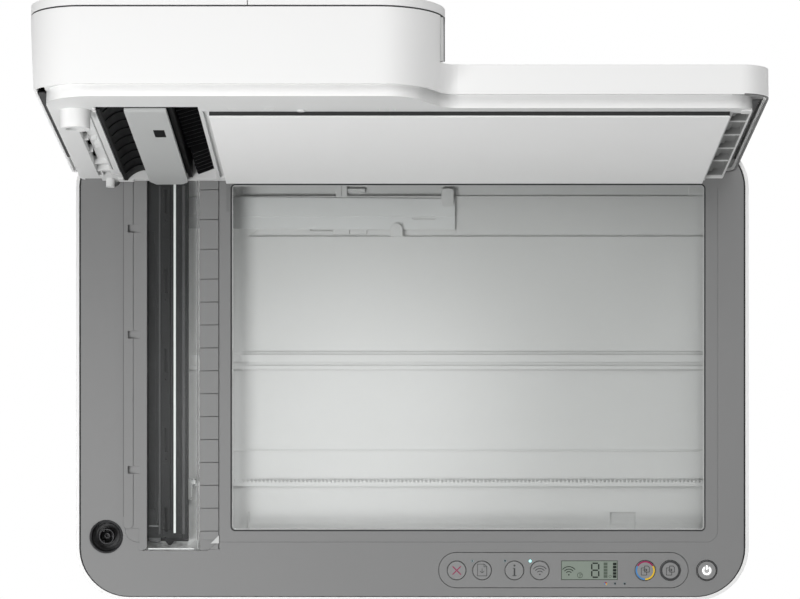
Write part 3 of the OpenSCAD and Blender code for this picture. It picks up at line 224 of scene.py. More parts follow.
def plastic(name, color, roughness, grain, depth, cloud=0.03, coat=0.0, metallic=0.0,
            edge=CORNER, specular=0.5):
    """The grain counts cells in a metre, and the edge is a corner radius in millimetres."""
    material = bpy.data.materials.new(name)
    material.use_nodes = True
    tree = material.node_tree
    skin = add(tree, "ShaderNodeGroup",
               {"Color": (*color, 1), "Roughness": roughness, "Grain size": grain,
                "Depth": depth, "Cloud": cloud, "Edge radius": edge * MM},
               node_tree=moulded_grain)
    gloss = {"Metallic": metallic, "Coat Weight": coat, "Coat Roughness": COAT_ROUGHNESS,
             "Specular IOR Level": specular}
    shader = tree.nodes["Principled BSDF"]
    feed(tree, shader.inputs["Base Color"], skin.outputs["Color"])
    feed(tree, shader.inputs["Roughness"], skin.outputs["Roughness"])
    feed(tree, shader.inputs["Normal"], skin.outputs["Normal"])
    for label, value in gloss.items():
        feed(tree, shader.inputs[label], value)
    return material


print("usual corner radius", CORNER, "mm")

# %% [markdown]
# The outside is white, and so are the liner and the bed, but they aren't the same white: the lid
# and the housing are the brightest, the liner is a step greyer, and the bed is a dull white that
# spreads the scanner's light. One white for all would make the machine look cast in one block.

# %% white mouldings
# name, colour, roughness, grain, depth and, where it isn't the usual one, cloudiness
white = plastic("housing_white", (0.88, 0.88, 0.875), 0.42, 2600, 0.10)
lid_white = plastic("lid_white", (0.89, 0.89, 0.885), 0.5, 3000, 0.05)
liner_white = plastic("liner_white", (0.72, 0.725, 0.72), 0.5, 2600, 0.08)
trim_white = plastic("trim_white", (0.72, 0.725, 0.72), 0.5, 2600, 0.08)
bed_white = plastic("bed_white", (0.58, 0.58, 0.577), 0.6, 2200, 0.03, 0.04)
foam_white = plastic("pad_sheet", (0.91, 0.91, 0.905), 0.6, 1500, 0.2, 0.02)
ribbon = plastic("ribbon_white", (0.62, 0.625, 0.625), 0.4, 1200, 0.03)
nylon = plastic("nylon", (0.72, 0.70, 0.62), 0.45, 1600, 0.1)
print("with whites", len(bpy.data.materials))

# %% [markdown]
# The panel, its strip and its keys are three close greys, with the coarsest grain on the panel.
# A black part is seen mostly by its shine, so a darker colour alone doesn't make it look darker.
# The guides in the feeder and the scanning unit look nearly black, and have their specular level
# turned down too.

# %% grey and black mouldings
panel_grey = plastic("panel_grey", (0.222, 0.223, 0.223), 0.55, 2200, 0.35, 0.05)
strip_grey = plastic("strip_grey", (0.228, 0.229, 0.229), 0.5, 2600, 0.2)
key_grey = plastic("key_grey", (0.25, 0.251, 0.251), 0.46, 2600, 0.15, edge=0.2)
plate_grey = plastic("press_plate_grey", (0.50, 0.51, 0.505), 0.5, 2400, 0.1)
station = plastic("station_grey", (0.25, 0.26, 0.27), 0.45, 2000, 0.1)
black = plastic("inner_black", (0.022, 0.022, 0.024), 0.42, 2000, 0.15)
# The feet's rubber also serves as painted shade in the gap between the panel and the housing.
rubber_and_gap_shade = plastic("rubber_black_and_gap_shade", (0.014, 0.014, 0.015), 0.7, 1500, 0.3)
cartridge_shell = plastic("cartridge_shell", (0.02, 0.02, 0.022), 0.3, 2000, 0.05, coat=0.2)
gloss_black = plastic("guide_black", (0.005, 0.005, 0.0055), 0.5, 2600, 0.1, specular=0.06)
sensor_dark = plastic("sensor_dark", (0.010, 0.0105, 0.011), 0.55, 2000, 0.15, specular=0.2)
print("with greys and blacks", len(bpy.data.materials))

# %% [markdown]
# Inside the machine there are zinc-plated steel, motor cans and a circuit board. Brushed or
# etched detail would cost time and hardly show, so one finish each is enough. The display and its
# lights get a thin clear coat, as a printed window has.

# %% metals, board and display
steel = plastic("zinc_steel", (0.55, 0.56, 0.58), 0.32, 700, 0.06, 0.12, metallic=1.0)
motor_metal = plastic("motor_metal", (0.42, 0.43, 0.45), 0.38, 900, 0.08, 0.12, metallic=1.0)
board = plastic("board_green", (0.03, 0.12, 0.06), 0.35, 900, 0.2, 0.2)
display_face = plastic("display_face", (0.235, 0.275, 0.235), 0.3, 2600, 0.01,
                       coat=0.2, edge=0.1)
light_clear = plastic("light_clear", (0.45, 0.62, 0.66), 0.3, 2600, 0.02, coat=0.4)
print("with metals", len(bpy.data.materials))

# %% [markdown]
# The two windows are flat panes of glass. Plain glass in a path tracer leaves the bed below it
# dark, since lamps aren't found through a bent ray. A clear sheet would let the light in, but lose
# the mirror look. So camera rays meet glass, and shadow rays and bounced light go straight through.

# %% window glass
def by_ray(tree, rays, usual, other):
    """Gives the named kinds of ray another shader than the usual one."""
    path = add(tree, "ShaderNodeLightPath")
    either = calculate(tree, "MAXIMUM", *[path.outputs[ray] for ray in rays])
    choose = add(tree, "ShaderNodeMixShader", {"Fac": either, 1: usual, 2: other})
    feed(tree, tree.nodes["Material Output"].inputs["Surface"], choose.outputs["Shader"])


def glass_pane(name, tint, clear_tint):
    material = bpy.data.materials.new(name)
    material.use_nodes = True
    tree = material.node_tree
    shader = tree.nodes["Principled BSDF"]
    for label, value in {"Base Color": (*tint, 1), "Roughness": 0.02, "IOR": 1.45,
                         "Transmission Weight": 1.0}.items():
        feed(tree, shader.inputs[label], value)
    clear = add(tree, "ShaderNodeBsdfTransparent", {"Color": (*clear_tint, 1)})
    by_ray(tree, ("Is Shadow Ray", "Is Diffuse Ray"), shader.outputs["BSDF"], clear.outputs["BSDF"])
    return material


glass = glass_pane("window_glass", (0.98, 0.985, 0.982), (0.96, 0.97, 0.965))
print("with glass", len(bpy.data.materials))

# %% [markdown]
# Each node of the construction takes the finish of its own moulding. Setting them one by one would
# take sixty lines, so a list pairs each finish with the nodes that have it.

# %% finishes on the nodes
FINISHES = [
    (white, ["side_housing", "front_door"]),
    (lid_white, ["lid_shell", "feeder_cover", "feeder_tray"]),
    (liner_white, ["lid_liner"]),
    (trim_white, ["hinge_set", "front_page_guide", "rear_page_guide"]),
    (panel_grey, ["scanner_panel"]),
    (strip_grey, ["control_strip"]),
    (key_grey, ["button_cancel", "button_resume", "button_info", "button_wireless",
                "button_color_copy", "button_black_copy", "button_power"]),
    (bed_white, ["scan_bed"]),
    (foam_white, ["foam_pad"]),
    (plate_grey, ["press_plate"]),
    (gloss_black, ["feeder_guides"]),
    (sensor_dark, ["image_sensor", "scan_carriage"]),
    (black, ["base_tray", "print_carriage", "platen", "paper_chute", "paper_support",
             "paper_guide", "output_tray", "tray_extender", "power_supply", "power_inlet",
             "feeder_drive", "drive_belt", "coupling_cup"]),
    (rubber_and_gap_shade, ["rubber_feet"]),
    (ribbon, ["ribbon_cable"]),
    (nylon, ["scan_pinion", "feed_pinion", "motor_pulley", "idler_pulley", "star_wheels"]),
    (steel, ["carriage_rail", "guide_rod", "feed_roller", "pinch_rollers", "output_roller",
             "feeder_rollers"]),
    (motor_metal, ["carriage_motor", "feed_motor"]),
    (board, ["main_board"]),
    (station, ["service_station"]),
    (display_face, ["display"]),
    (light_clear, ["indicator_lights"]),
    (glass, ["platen_glass", "feeder_glass"]),
    (cartridge_shell, ["black_cartridge", "color_cartridge"]),
]


def finish_nodes():
    for finish, names in FINISHES:
        for name in names:
            slots = nodes[name].material_slots
            for slot in slots:
                slot.material = finish
            if not slots:
                nodes[name].data.materials.append(finish)


finish_nodes()
print("finished nodes", sum(len(names) for _, names in FINISHES), "of", len(nodes))

# %% [markdown]
# A second tone, painted shade or painted light is laid over the first colour where a mask is 1. The
# colour could be mixed after the grain group, but mixing before it keeps the same grain and
# cloudiness on both tones.

# %% a second tone
def grain_of(material):
    return next(node for node in material.node_tree.nodes
                if node.type == "GROUP" and node.node_tree == moulded_grain)


def recolour(material, mask, color):
    """Lays a colour over what the grain group was given so far, where the mask is 1."""
    tree = material.node_tree
    skin = grain_of(material).inputs["Color"]
    before = skin.links[0].from_socket if skin.is_linked else skin.default_value
    choose = add(tree, "ShaderNodeMix", {"A": before, "B": (*color, 1), "Factor": mask},
                 data_type="RGBA")
    feed(tree, skin, choose.outputs["Result"])


print("bed colour", [round(v, 2) for v in grain_of(bed_white).inputs["Color"].default_value[:3]])

# %% [markdown]
# The pad under the lid is a white sheet bonded to black foam. The liner's recesses get painted
# shade that makes them darker than its face, and the rim along the shell's right side gets painted
# shade for the shadow of its own overhang. All three turn at a level of the closed lid, counted up
# from the panel.

# %% two tones and painted shade on the lid
def lid_mask(tree, axis, level):
    """A mask of what lies beyond a level, in metres along an axis of the closed lid."""
    direction = OPEN_LID.to_3x3() @ Vector(axis)
    height = direction.dot(OPEN_LID @ (Vector(axis) * level))
    side = add(tree, "ShaderNodeGroup", node_tree=beyond_level)
    feed(tree, side.inputs["Direction"], direction)
    feed(tree, side.inputs["Level"], height)
    return side.outputs["Mask"]


def two_tones_and_painted_shade(material, level, deep, right_of=-1.0, up=1):
    """Gives a lid moulding another colour, a second tone or painted shade, above a level, or below
    it where up is -1, and only right of a line."""
    tree = material.node_tree
    past_level = lid_mask(tree, (0, 0, up), up * (PANEL + level))
    past_line = lid_mask(tree, (1, 0, 0), right_of)
    recolour(material, calculate(tree, "MULTIPLY", past_level, past_line), deep)


FOAM_LEVEL, LINER_LEVEL, RIM_LEVEL = 1.22 * MM, 4.3 * MM, 9.65 * MM
LINER_POCKETS, RIM_LINE = 0.182, 0.188
two_tones_and_painted_shade(foam_white, FOAM_LEVEL, (0.022, 0.022, 0.023))
# Painted shade: the liner's recesses are darkened where their deep pockets lie in shadow.
two_tones_and_painted_shade(liner_white, LINER_LEVEL, (0.27, 0.273, 0.27), right_of=LINER_POCKETS)
# Painted shade: the rim under the shell's right overhang is darkened.
two_tones_and_painted_shade(lid_white, RIM_LEVEL, (0.16, 0.16, 0.16), right_of=RIM_LINE, up=-1)
print("two tones on", foam_white.name, liner_white.name, lid_white.name)

# %% [markdown]
# The liner's front flange faces up when the lid stands open, and painted light makes it lighter
# than the rest of the liner. It could be told apart by its place alone, but then the pockets behind
# it would brighten too, so the mask wants both: a surface that faces forward and a point in front
# of a line.

# %% painted light on the liner's flange
FLANGE_LINE = -0.122


def flange_painted_light(material, light):
    tree = material.node_tree
    forward = OPEN_LID.to_3x3() @ Vector((0, -1, 0))
    face = add(tree, "ShaderNodeGroup", node_tree=facing_along)
    feed(tree, face.inputs["Direction"], forward)
    in_front = calculate(tree, "SUBTRACT", 1.0, lid_mask(tree, (0, 1, 0), FLANGE_LINE))
    recolour(material, calculate(tree, "MULTIPLY", face.outputs["Mask"], in_front), light)


flange_painted_light(liner_white, (0.93, 0.93, 0.925))
print("liner nodes", len(liner_white.node_tree.nodes))

# %% [markdown]
# The bed's left and front borders lie under the rim of the window and take its shade. On the real
# bed that shade stays faint, because the walls beside it are white too and throw light back.
# Painted light, a paler colour near those walls, does the same and costs no extra bounces.

# %% painted light on the bed's border
BORDER = (("X", -111.5, -105.5), ("Y", -120.5, -111.5))  # axis, fully pale, back to the bed's own


def border_painted_light():
    tree = bed_white.node_tree
    place = add(tree, "ShaderNodeTexCoord")
    split = add(tree, "ShaderNodeSeparateXYZ", {0: place.outputs["Object"]})
    fades = []
    for axis, start, end in BORDER:
        fade = add(tree, "ShaderNodeMapRange",
                   {"Value": split.outputs[axis], "From Min": start * MM, "From Max": end * MM,
                    "To Min": 1.0, "To Max": 0.0}, interpolation_type="SMOOTHSTEP")
        fades.append(fade.outputs["Result"])
    recolour(bed_white, calculate(tree, "MAXIMUM", *fades), (0.92, 0.92, 0.916))


border_painted_light()
print("bed nodes", len(bed_white.node_tree.nodes))

# %% [markdown]
# The keys and the display carry printed signs: strokes of ink a few hundredths of a millimetre
# thick. An image could hold them, but drawn strokes stay crisp at any distance. A sign is a list
# of shapes, and a shape is a list of loops, of which the second is a hole. Loops are in
# millimetres from the middle of the key, so that every sign reads as a drawing.

# %% outlines for signs
def around(cx, cy, r, start=0.0, end=360.0, steps=40):
    angles = [math.radians(start + (end - start) * k / steps) for k in range(steps + 1)]
    return [(cx + r * math.cos(a), cy + r * math.sin(a)) for a in angles]


def disc(cx, cy, r):
    return [around(cx, cy, r)[:-1]]


def ring(cx, cy, r, width):
    return [around(cx, cy, r + width / 2)[:-1], around(cx, cy, r - width / 2)[:-1]]


def arc(cx, cy, r, width, start, end):
    return [around(cx, cy, r + width / 2, start, end)
            + around(cx, cy, r - width / 2, end, start)]


def plate(x0, x1, y0, y1):
    return [(x0, y0), (x1, y0), (x1, y1), (x0, y1)]


print("points round a disc", len(disc(0, 0, 1)[0]))

# %% [markdown]
# The page signs are drawn as lines. A line could be a curve with a round profile, but ink is flat
# and its ends are square. So a stroke is a narrow four-cornered loop, and a closed line is one
# loop inside another, mitred at each corner.

# %% strokes
def stroke(x0, y0, x1, y1, width):
    along = Vector((x1 - x0, y1 - y0)).normalized()
    side = Vector((-along.y, along.x)) * width / 2
    return [[(x0 + side.x, y0 + side.y), (x0 - side.x, y0 - side.y), (x1 - side.x, y1 - side.y),
             (x1 + side.x, y1 + side.y)]]


def frame_line(points, width):
    """A closed line of that width along the points, as an outline with a hole."""
    outer, inner = [], []
    count = len(points)
    for k, point in enumerate(points):
        here = Vector(point)
        before = (here - Vector(points[k - 1])).normalized()
        after = (Vector(points[(k + 1) % count]) - here).normalized()
        mitre = Vector((before.y + after.y, -before.x - after.x))
        slant = max(0.5, mitre.normalized().dot(Vector((before.y, -before.x))))
        mitre *= width / (mitre.length * slant)
        outer.append(tuple(here + mitre / 2))
        inner.append(tuple(here - mitre / 2))
    return [outer, inner]


print("corners of a square line", len(frame_line(plate(0, 4, 0, 4), 0.3)[0]))

# %% [markdown]
# A flat sign becomes a mesh through Blender's 2D curves, which fill a loop, leave its hole open
# and give the whole a thickness. Triangulating each sign by hand would need care round every hole.
# All the strokes of one sign are joined, so that a sign is one piece on its key.

# %% printing a sign
INK = 0.02


def new_object(name, data):
    piece = bpy.data.objects.new(name, data)
    bpy.context.scene.collection.objects.link(piece)
    return piece


def filled(shape, thick):
    """The mesh of one shape, in millimetres."""
    flat = bpy.data.curves.new("outline", "CURVE")
    flat.dimensions = "2D"
    flat.fill_mode = "BOTH"
    flat.extrude = thick / 2
    for loop in shape:
        line = flat.splines.new("POLY")
        line.points.add(len(loop) - 1)
        for spot, (x, y) in zip(line.points, loop):
            spot.co = (x, y, 0, 1)
        line.use_cyclic_u = True
    holder = new_object("outline", flat)
    bpy.context.view_layer.update()
    mesh = bpy.data.meshes.new_from_object(holder)
    bpy.data.objects.remove(holder)
    bpy.data.curves.remove(flat)
    return mesh


def printed(name, shapes, place, material, body, thick=INK):
    """Fills each shape, joins them into one thin mesh and lays it at place, in millimetres."""
    joined = bmesh.new()
    for shape in shapes:
        part = filled(shape, thick)
        joined.from_mesh(part)
        bpy.data.meshes.remove(part)
    bmesh.ops.transform(joined, matrix=Matrix.Diagonal((MM, MM, MM, 1)), verts=joined.verts)
    mesh = bpy.data.meshes.new(name)
    joined.to_mesh(mesh)
    joined.free()
    mesh.materials.append(material)
    piece = new_object(name, mesh)
    piece.location = Vector(place) * MM
    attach(piece, body)


print("ink thickness", INK, "mm")

# %% [markdown]
# Ink, small lamps and painted glows share one recipe. It's the same moulded grain as the plastics,
# so that the print isn't a dead flat colour, with less shine, because ink is matt. The lamps and
# the painted glows add an emission colour on top.

# %% inks, lamps and painted glows
def ink_and_glow(name, color, glow=0.0, roughness=0.5):
    material = plastic(name, color, roughness, 2600, 0.05, 0.06, edge=0.02, specular=0.15)
    shader = material.node_tree.nodes["Principled BSDF"]
    shader.inputs["Emission Color"].default_value = (*color, 1)
    shader.inputs["Emission Strength"].default_value = glow
    return material


sign_grey = ink_and_glow("sign_grey", (0.052, 0.053, 0.055))
sign_dark = ink_and_glow("sign_dark", (0.016, 0.016, 0.017))
sign_red = ink_and_glow("sign_crimson", (0.30, 0.012, 0.085))
sign_yellow = ink_and_glow("sign_yellow", (0.78, 0.50, 0.03))
sign_blue = ink_and_glow("sign_blue", (0.07, 0.24, 0.52))
lcd_ink = ink_and_glow("lcd_ink", (0.014, 0.019, 0.015))
lcd_pale = ink_and_glow("lcd_pale", (0.10, 0.125, 0.10))
lamp_white = ink_and_glow("lamp_white", (1.0, 1.0, 1.0), 1.0)
lamp_cyan = ink_and_glow("lamp_cyan", (0.38, 0.92, 0.92), 1.0)
glow_soft = ink_and_glow("glow_soft", (0.36, 0.36, 0.36), 0.3)
print("inks", len([m for m in bpy.data.materials if m.name.startswith(("sign", "lcd", "lamp"))]))

# %% [markdown]
# The seven keys are, from left to right, cancel, resume, information, wireless, colour copy, black
# copy and power. Each sign rides on its own key, so that it goes down when the key is pressed, and
# it's centred on the cap, whose place comes from the frame.

# %% signs of the four left keys
def cap_top(node):
    """The middle of a node's top, in millimetres, a little above it so that ink lies on it."""
    low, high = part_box(node)
    return ((low.x + high.x) / 2 / MM, (low.y + high.y) / 2 / MM, high.z / MM + INK)


def antenna(cx, cy, size):
    """Three arcs over a dot, whose middle is at cx, cy."""
    return ([arc(cx, cy, r * size, 0.5 * size, 40, 140) for r in (2.1, 3.7, 5.3)]
            + [disc(cx, cy, 0.5 * size)])


def draw_left_signs():
    cross = [stroke(-2.6, -2.6, 2.6, 2.6, 0.62), stroke(-2.6, 2.6, -0.3, 0.3, 0.62),
             stroke(0.3, -0.3, 2.6, -2.6, 0.62)]
    page = [(-2.9, -3.4), (2.9, -3.4), (2.9, 2.4), (1.3, 4.0), (-2.9, 4.0)]
    folded = [stroke(1.2, 3.8, 1.2, 2.2, 0.34), stroke(1.2, 2.3, 2.8, 2.3, 0.34)]
    arrow = [stroke(0, 1.2, 0, -1.5, 0.36), stroke(-1.3, -0.4, 0, -1.6, 0.36),
             stroke(1.3, -0.4, 0, -1.6, 0.36)]
    letter = [disc(0, 3.1, 0.62), stroke(0, 1.5, 0, -3.3, 0.95),
              stroke(-1.0, 1.4, -0.4, 1.4, 0.4), stroke(-1.3, -3.3, 1.3, -3.3, 0.4)]
    for key, shapes, material in (("cancel", cross, sign_red),
                                  ("resume", [frame_line(page, 0.36)] + folded + arrow, sign_grey),
                                  ("info", letter, sign_grey),
                                  ("wireless", antenna(0, -2.5, 1.0), sign_grey)):
        button = "button_" + key
        printed("sign_" + key, shapes, cap_top(button), material, button)


draw_left_signs()
print("signs drawn at height", round(cap_top("button_cancel")[2], 2), "mm")

# %% [markdown]
# The copy keys show one page in front of another, inside a ring: three coloured arcs on the colour
# key and a plain grey band on the black one. The page behind is an open line, so it's made of
# strokes that stop where the front page hides it.

# %% signs of the copy keys
RING = 5.55  # middle radius of the printed rings


def two_pages():
    sheet_front = [(-0.4, -1.0), (2.6, -1.0), (2.6, 1.9), (1.7, 2.8), (-0.4, 2.8)]
    sheet_back = [(-0.4, 1.6), (-2.5, 1.6), (-2.5, -2.9), (0.9, -2.9), (0.9, -1.0)]
    back = [stroke(*a, *b, 0.34) for a, b in zip(sheet_back, sheet_back[1:])]
    arrow = [stroke(-1.5, 0.3, 1.1, 0.3, 0.36), stroke(0.2, 1.2, 1.2, 0.3, 0.36),
             stroke(0.2, -0.6, 1.2, 0.3, 0.36)]
    return [frame_line(sheet_front, 0.34)] + back + arrow


def draw_copy_signs():
    centre = cap_top("button_color_copy")
    for name, material, start, end in (("crimson", sign_red, 32, 148),
                                       ("blue", sign_blue, 151, 267),
                                       ("yellow", sign_yellow, -90, 29)):
        printed("ring_" + name, [arc(0, 0, RING, 0.95, start, end)], centre, material,
                "button_color_copy")
    printed("sign_color_copy", two_pages(), centre, sign_dark, "button_color_copy")
    centre = cap_top("button_black_copy")
    printed("ring_black_copy", [ring(0, 0, RING, 1.05)], centre, sign_grey, "button_black_copy")
    printed("sign_black_copy", two_pages(), centre, sign_dark, "button_black_copy")


draw_copy_signs()
print("copy keys", round(cap_top("button_black_copy")[0] - cap_top("button_color_copy")[0], 1),
      "mm apart")

# %% [markdown]
# The power key is lit from behind: a white sign on a soft pool of light. Real light would need a
# clear key, but at this size a dim disc under a bright sign gives the same halo.

# %% sign of the power key
def draw_power_sign():
    x, y, z = cap_top("button_power")
    printed("ring_power", [ring(0, 0, 5.85, 0.5)], (x, y, z), sign_dark, "button_power")
    printed("glow_power", [disc(0, -0.1, 3.3)], (x, y, z), glow_soft, "button_power",
            thick=INK / 2)
    printed("sign_power", [arc(0, 0, 2.25, 0.95, -235, 55), stroke(0, 0.6, 0, 3.2, 0.85)],
            (x, y, z + INK), lamp_white, "button_power")


draw_power_sign()
print("power key at", [round(v, 1) for v in cap_top("button_power")])

# %% [markdown]
# The display is a pale green liquid crystal. Its dark segments show the signal, a single figure
# and a full column of ink bars, and unlit segments beside them are only a shade darker than the
# glass. A picture of the display would blur close by, so the segments are drawn as strokes too.

# %% display
LCD_LINE = 0.35  # width of the display's border
BAR_STEP = 1.98
FIGURE_X = 3.65


def draw_display():
    low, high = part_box("display")
    place = cap_top("display")
    half_w, half_d = (high.x - low.x) / 2 / MM, (high.y - low.y) / 2 / MM
    border = [plate(-half_w, half_w, -half_d, half_d),
              plate(-half_w + LCD_LINE, half_w - LCD_LINE, -half_d + LCD_LINE, half_d - LCD_LINE)]
    printed("lcd_frame", [border], place, lcd_pale, "base")
    # the figure eight, as three level segments and four upright ones
    level = [stroke(FIGURE_X - 1.7, dy, FIGURE_X + 1.7, dy, 0.85) for dy in (-4.4, 0.0, 4.4)]
    upright = [stroke(FIGURE_X + dx, dy - 1.65, FIGURE_X + dx, dy + 1.65, 0.85)
               for dx in (-2.2, 2.2) for dy in (-2.2, 2.2)]
    # a full column of bars, with an unlit one on its left
    bars = [-4.8 + BAR_STEP * k for k in range(5)]
    full = [stroke(15.9, y, 15.9, y + 1.6, 2.2) for y in bars]
    unlit = [stroke(10.15, y, 10.15, y + 1.7, 2.4) for y in bars]
    printed("lcd_segments", antenna(-13.0, -2.9, 0.97) + level + upright + full, place, lcd_ink,
            "base")
    drop_and_clock = [ring(13.0, -3.9, 0.75, 0.3), ring(-6.0, -3.2, 1.6, 0.4),
                      stroke(-6.0, -4.6, -6.0, -1.4, 0.36), stroke(-5.8, -3.2, -4.6, -2.5, 0.36)]
    printed("lcd_faint", unlit + drop_and_clock, place, lcd_pale, "base")
    return place


display_place = draw_display()
print("display middle at", [round(v, 1) for v in display_place])

# %% [markdown]
# Six clear rods bring light up through the strip, three beside the keys and three in front of the
# display. Only the wireless one is lit. A lamp inside each rod would need the rods hollow, so a
# glowing disc stands for the lit one and dark discs for the others, and the disc for the coloured
# ink is in three sectors.

# %% small lights
LIGHTS = (("wireless", 74.3, -138.8, 0.85, lamp_cyan), ("info", 58.5, -138.7, 0.62, sign_dark),
          ("resume", 37.9, -138.8, 0.55, sign_grey))
DOT_ROW = -153
COLOR_DOT, BLACK_DOTS = 121.9, (127.8, 133.9)


def draw_lights():
    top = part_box("indicator_lights")[1].z / MM + INK / 2
    for name, x, y, radius, material in LIGHTS:
        printed("light_" + name, [disc(x, y, radius)], (0, 0, top), material, "base")
    for x in BLACK_DOTS:
        printed("dot_black_%d" % round(x), [disc(x, DOT_ROW, 0.62)], (0, 0, top), sign_dark, "base")
    for name, material, start in (("crimson", sign_red, 30), ("blue", sign_blue, 150),
                                  ("yellow", sign_yellow, 270)):
        sector = [(COLOR_DOT, DOT_ROW)] + around(COLOR_DOT, DOT_ROW, 0.95, start, start + 118, 10)
        printed("dot_" + name, [[sector]], (0, 0, top), material, "base")


draw_lights()

# %% [markdown]
# The small mouldings that the construction leaves out are simple in plan. Sculpting them would
# take long and box modelling would hide their sizes. So each is an outline raised to its height: a
# floor, a roof and one side face for each edge. A Bevel modifier then softens the corners, which
# leaves the outline itself readable.

# %% small mouldings
def moulding(name, outline, low, high, material, body, soften, matrix=Matrix()):
    """Raises an anticlockwise outline, in millimetres, from low to high and softens its edges."""
    count = len(outline)
    corners = [(x * MM, y * MM, z * MM) for z in (low, high) for x, y in outline]
    floor_face = tuple(reversed(range(count)))
    roof_face = tuple(range(count, 2 * count))
    sides = [(k, (k + 1) % count, (k + 1) % count + count, k + count) for k in range(count)]
    mesh = bpy.data.meshes.new(name)
    mesh.from_pydata(corners, [], [floor_face, roof_face] + sides)
    mesh.transform(matrix)
    mesh.materials.append(material)
    piece = new_object(name, mesh)
    if soften:
        bevel = piece.modifiers.new("soft_edges", "BEVEL")
        bevel.width = soften * MM
        bevel.segments = 2
        bevel.limit_method = "ANGLE"
    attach(piece, body)


# %% [markdown]
# The scanning unit under the glass is a dark moulding with a pale bar of light running along it.
# The bar gets a faint emission, painted light that keeps it bright, instead of a lamp of its own.
# Two slightly lighter strips run beside it for its whole length.

# %% light bar and strips
SENSOR_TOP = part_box("image_sensor")[1].z / MM
# Painted light: a faint emission keeps the bar bright.
bar_painted_glow = ink_and_glow("bar_painted_glow", (0.80, 0.82, 0.81), 0.12, 0.3)
sensor_edge = plastic("sensor_edge", (0.028, 0.0285, 0.03), 0.5, 2000, 0.15)
BAR = plate(-150.75, -149.25, -121.4, 100)
STRIPS = {"left": plate(-160.0, -158.8, -122, 98), "right": plate(-145.2, -143.4, -122, 98)}
moulding("light_bar", BAR, SENSOR_TOP - 0.5, SENSOR_TOP - 0.1, bar_painted_glow, "scan_carriage",
         soften=0.12)
for side, outline in STRIPS.items():
    moulding("sensor_strip_" + side, outline, SENSOR_TOP - 0.4, SENSOR_TOP + 0.04, sensor_edge,
             "scan_carriage", soften=0.05)
print("sensor top", round(SENSOR_TOP, 2), "mm, light bar", round(BAR[2][1] - BAR[0][1], 1), "mm")

# %% [markdown]
# A white spring hook stands at the unit's right side, with three small holes that are too fine to
# cut: a dark dot of painted shade on its top stands for each. At the front end a clip holds the
# sensor's wire.

# %% hook and clip
clip_grey = plastic("clip_grey", (0.03, 0.031, 0.032), 0.5, 2000, 0.15)
hook_white = plastic("hook_white", (0.60, 0.605, 0.60), 0.45, 1800, 0.1)
# This dark grey also serves as painted shade in the gap along the lid's right side.
dark_grey_and_gap_shade = plastic("dark_grey_and_gap_shade", (0.11, 0.111, 0.112), 0.6, 2000, 0.2)
HOOK_LOW, HOOK_HIGH = 127.2, 129.6


def draw_hook_and_clip():
    hook = [(-142.2, -100.2), (-141.1, -101.3), (-139.7, -101.1), (-139.1, -99.4),
            (-139.1, -91.1), (-136.9, -90.9), (-136.9, -87.2), (-142.2, -87.2)]
    moulding("carriage_hook", hook, HOOK_LOW, HOOK_HIGH, hook_white, "scan_carriage", soften=0.5)
    holes = [disc(x, y, 0.35) for x, y in ((-139.4, -87.9), (-137.4, -87.9), (-139.9, -99.6))]
    printed("hook_holes", holes, (0, 0, HOOK_HIGH + INK), sign_dark, "scan_carriage")
    clip = [(-166.6, -125.6), (-165.6, -127), (-159.6, -127.4), (-158.4, -126.2),
            (-158.4, -120.4), (-160.6, -118), (-160.6, -116.6), (-166.6, -116.6)]
    moulding("cable_clip", clip, SENSOR_TOP - 3.0, SENSOR_TOP - 0.4, clip_grey, "scan_carriage",
             soften=0.4)
    moulding("cable_clip_bar", plate(-166.4, -160.2, -117.5, -116.4), SENSOR_TOP - 1.0,
             SENSOR_TOP + 0.1, dark_grey_and_gap_shade, "scan_carriage", soften=0.2)


draw_hook_and_clip()
print("hook height", round(HOOK_HIGH - HOOK_LOW, 2), "mm")

# %% [markdown]
# A thin wire runs from the sensor to its clip. A mesh tube would have to be swept by hand, while a
# curve with a round bevel is a wire already, and its points are the places where the wire bends.
# Two short ticks beside it are printed on the sensor's top.

# %% the sensor's wire
WIRE_RADIUS = 0.22


def wire(name, points, radius, material, body):
    """A round wire through the points, in millimetres."""
    path = bpy.data.curves.new(name, "CURVE")
    path.dimensions = "3D"
    path.bevel_depth = radius * MM
    path.bevel_resolution = 3
    path.use_fill_caps = True
    line = path.splines.new("POLY")
    line.points.add(len(points) - 1)
    for spot, point in zip(line.points, points):
        spot.co = (*(Vector(point) * MM), 1)
    path.materials.append(material)
    piece = new_object(name, path)
    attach(piece, body)


wire("sensor_wire", [(-160.0, -97.5, SENSOR_TOP - 0.05), (-160.3, -104, SENSOR_TOP + 0.05),
                     (-160.6, -113, SENSOR_TOP + 0.05), (-161.6, -116.6, SENSOR_TOP - 0.1)],
     WIRE_RADIUS, clip_grey, "scan_carriage")
ticks = [stroke(-157.1, y, -156.4, y, 0.5) for y in (-114.2, -118.6)]
printed("sensor_marks", ticks, (0, 0, SENSOR_TOP + INK / 2), clip_grey, "scan_carriage")
print("wire", 2 * WIRE_RADIUS, "mm thick")

# %% [markdown]
# A black ring of painted shade lies in the gap round the flatbed glass, and a pale ring just inside
# it is a painted highlight on the glass's lip. Another black ring is painted shade in the gap
# between the panel and the housing. The feeder window has the painted highlight only, bright along
# its front edge and faint along its right edge. A bevelled curve could follow the edges, but these
# rings are flat, so they are cut from a rounded plate.

# %% painted shade and highlights round the glass
# Painted highlights: pale rings and strips stand for light on the lips of the glass, and a faint
# emission keeps the brightest ones bright.
lip_painted_highlight = ink_and_glow("glass_painted_highlight", (0.80, 0.82, 0.81), 0.12, 0.35)
lip_painted_highlight_dim = plastic("glass_painted_highlight_dim", (0.46, 0.47, 0.465), 0.4, 2400, 0.1)
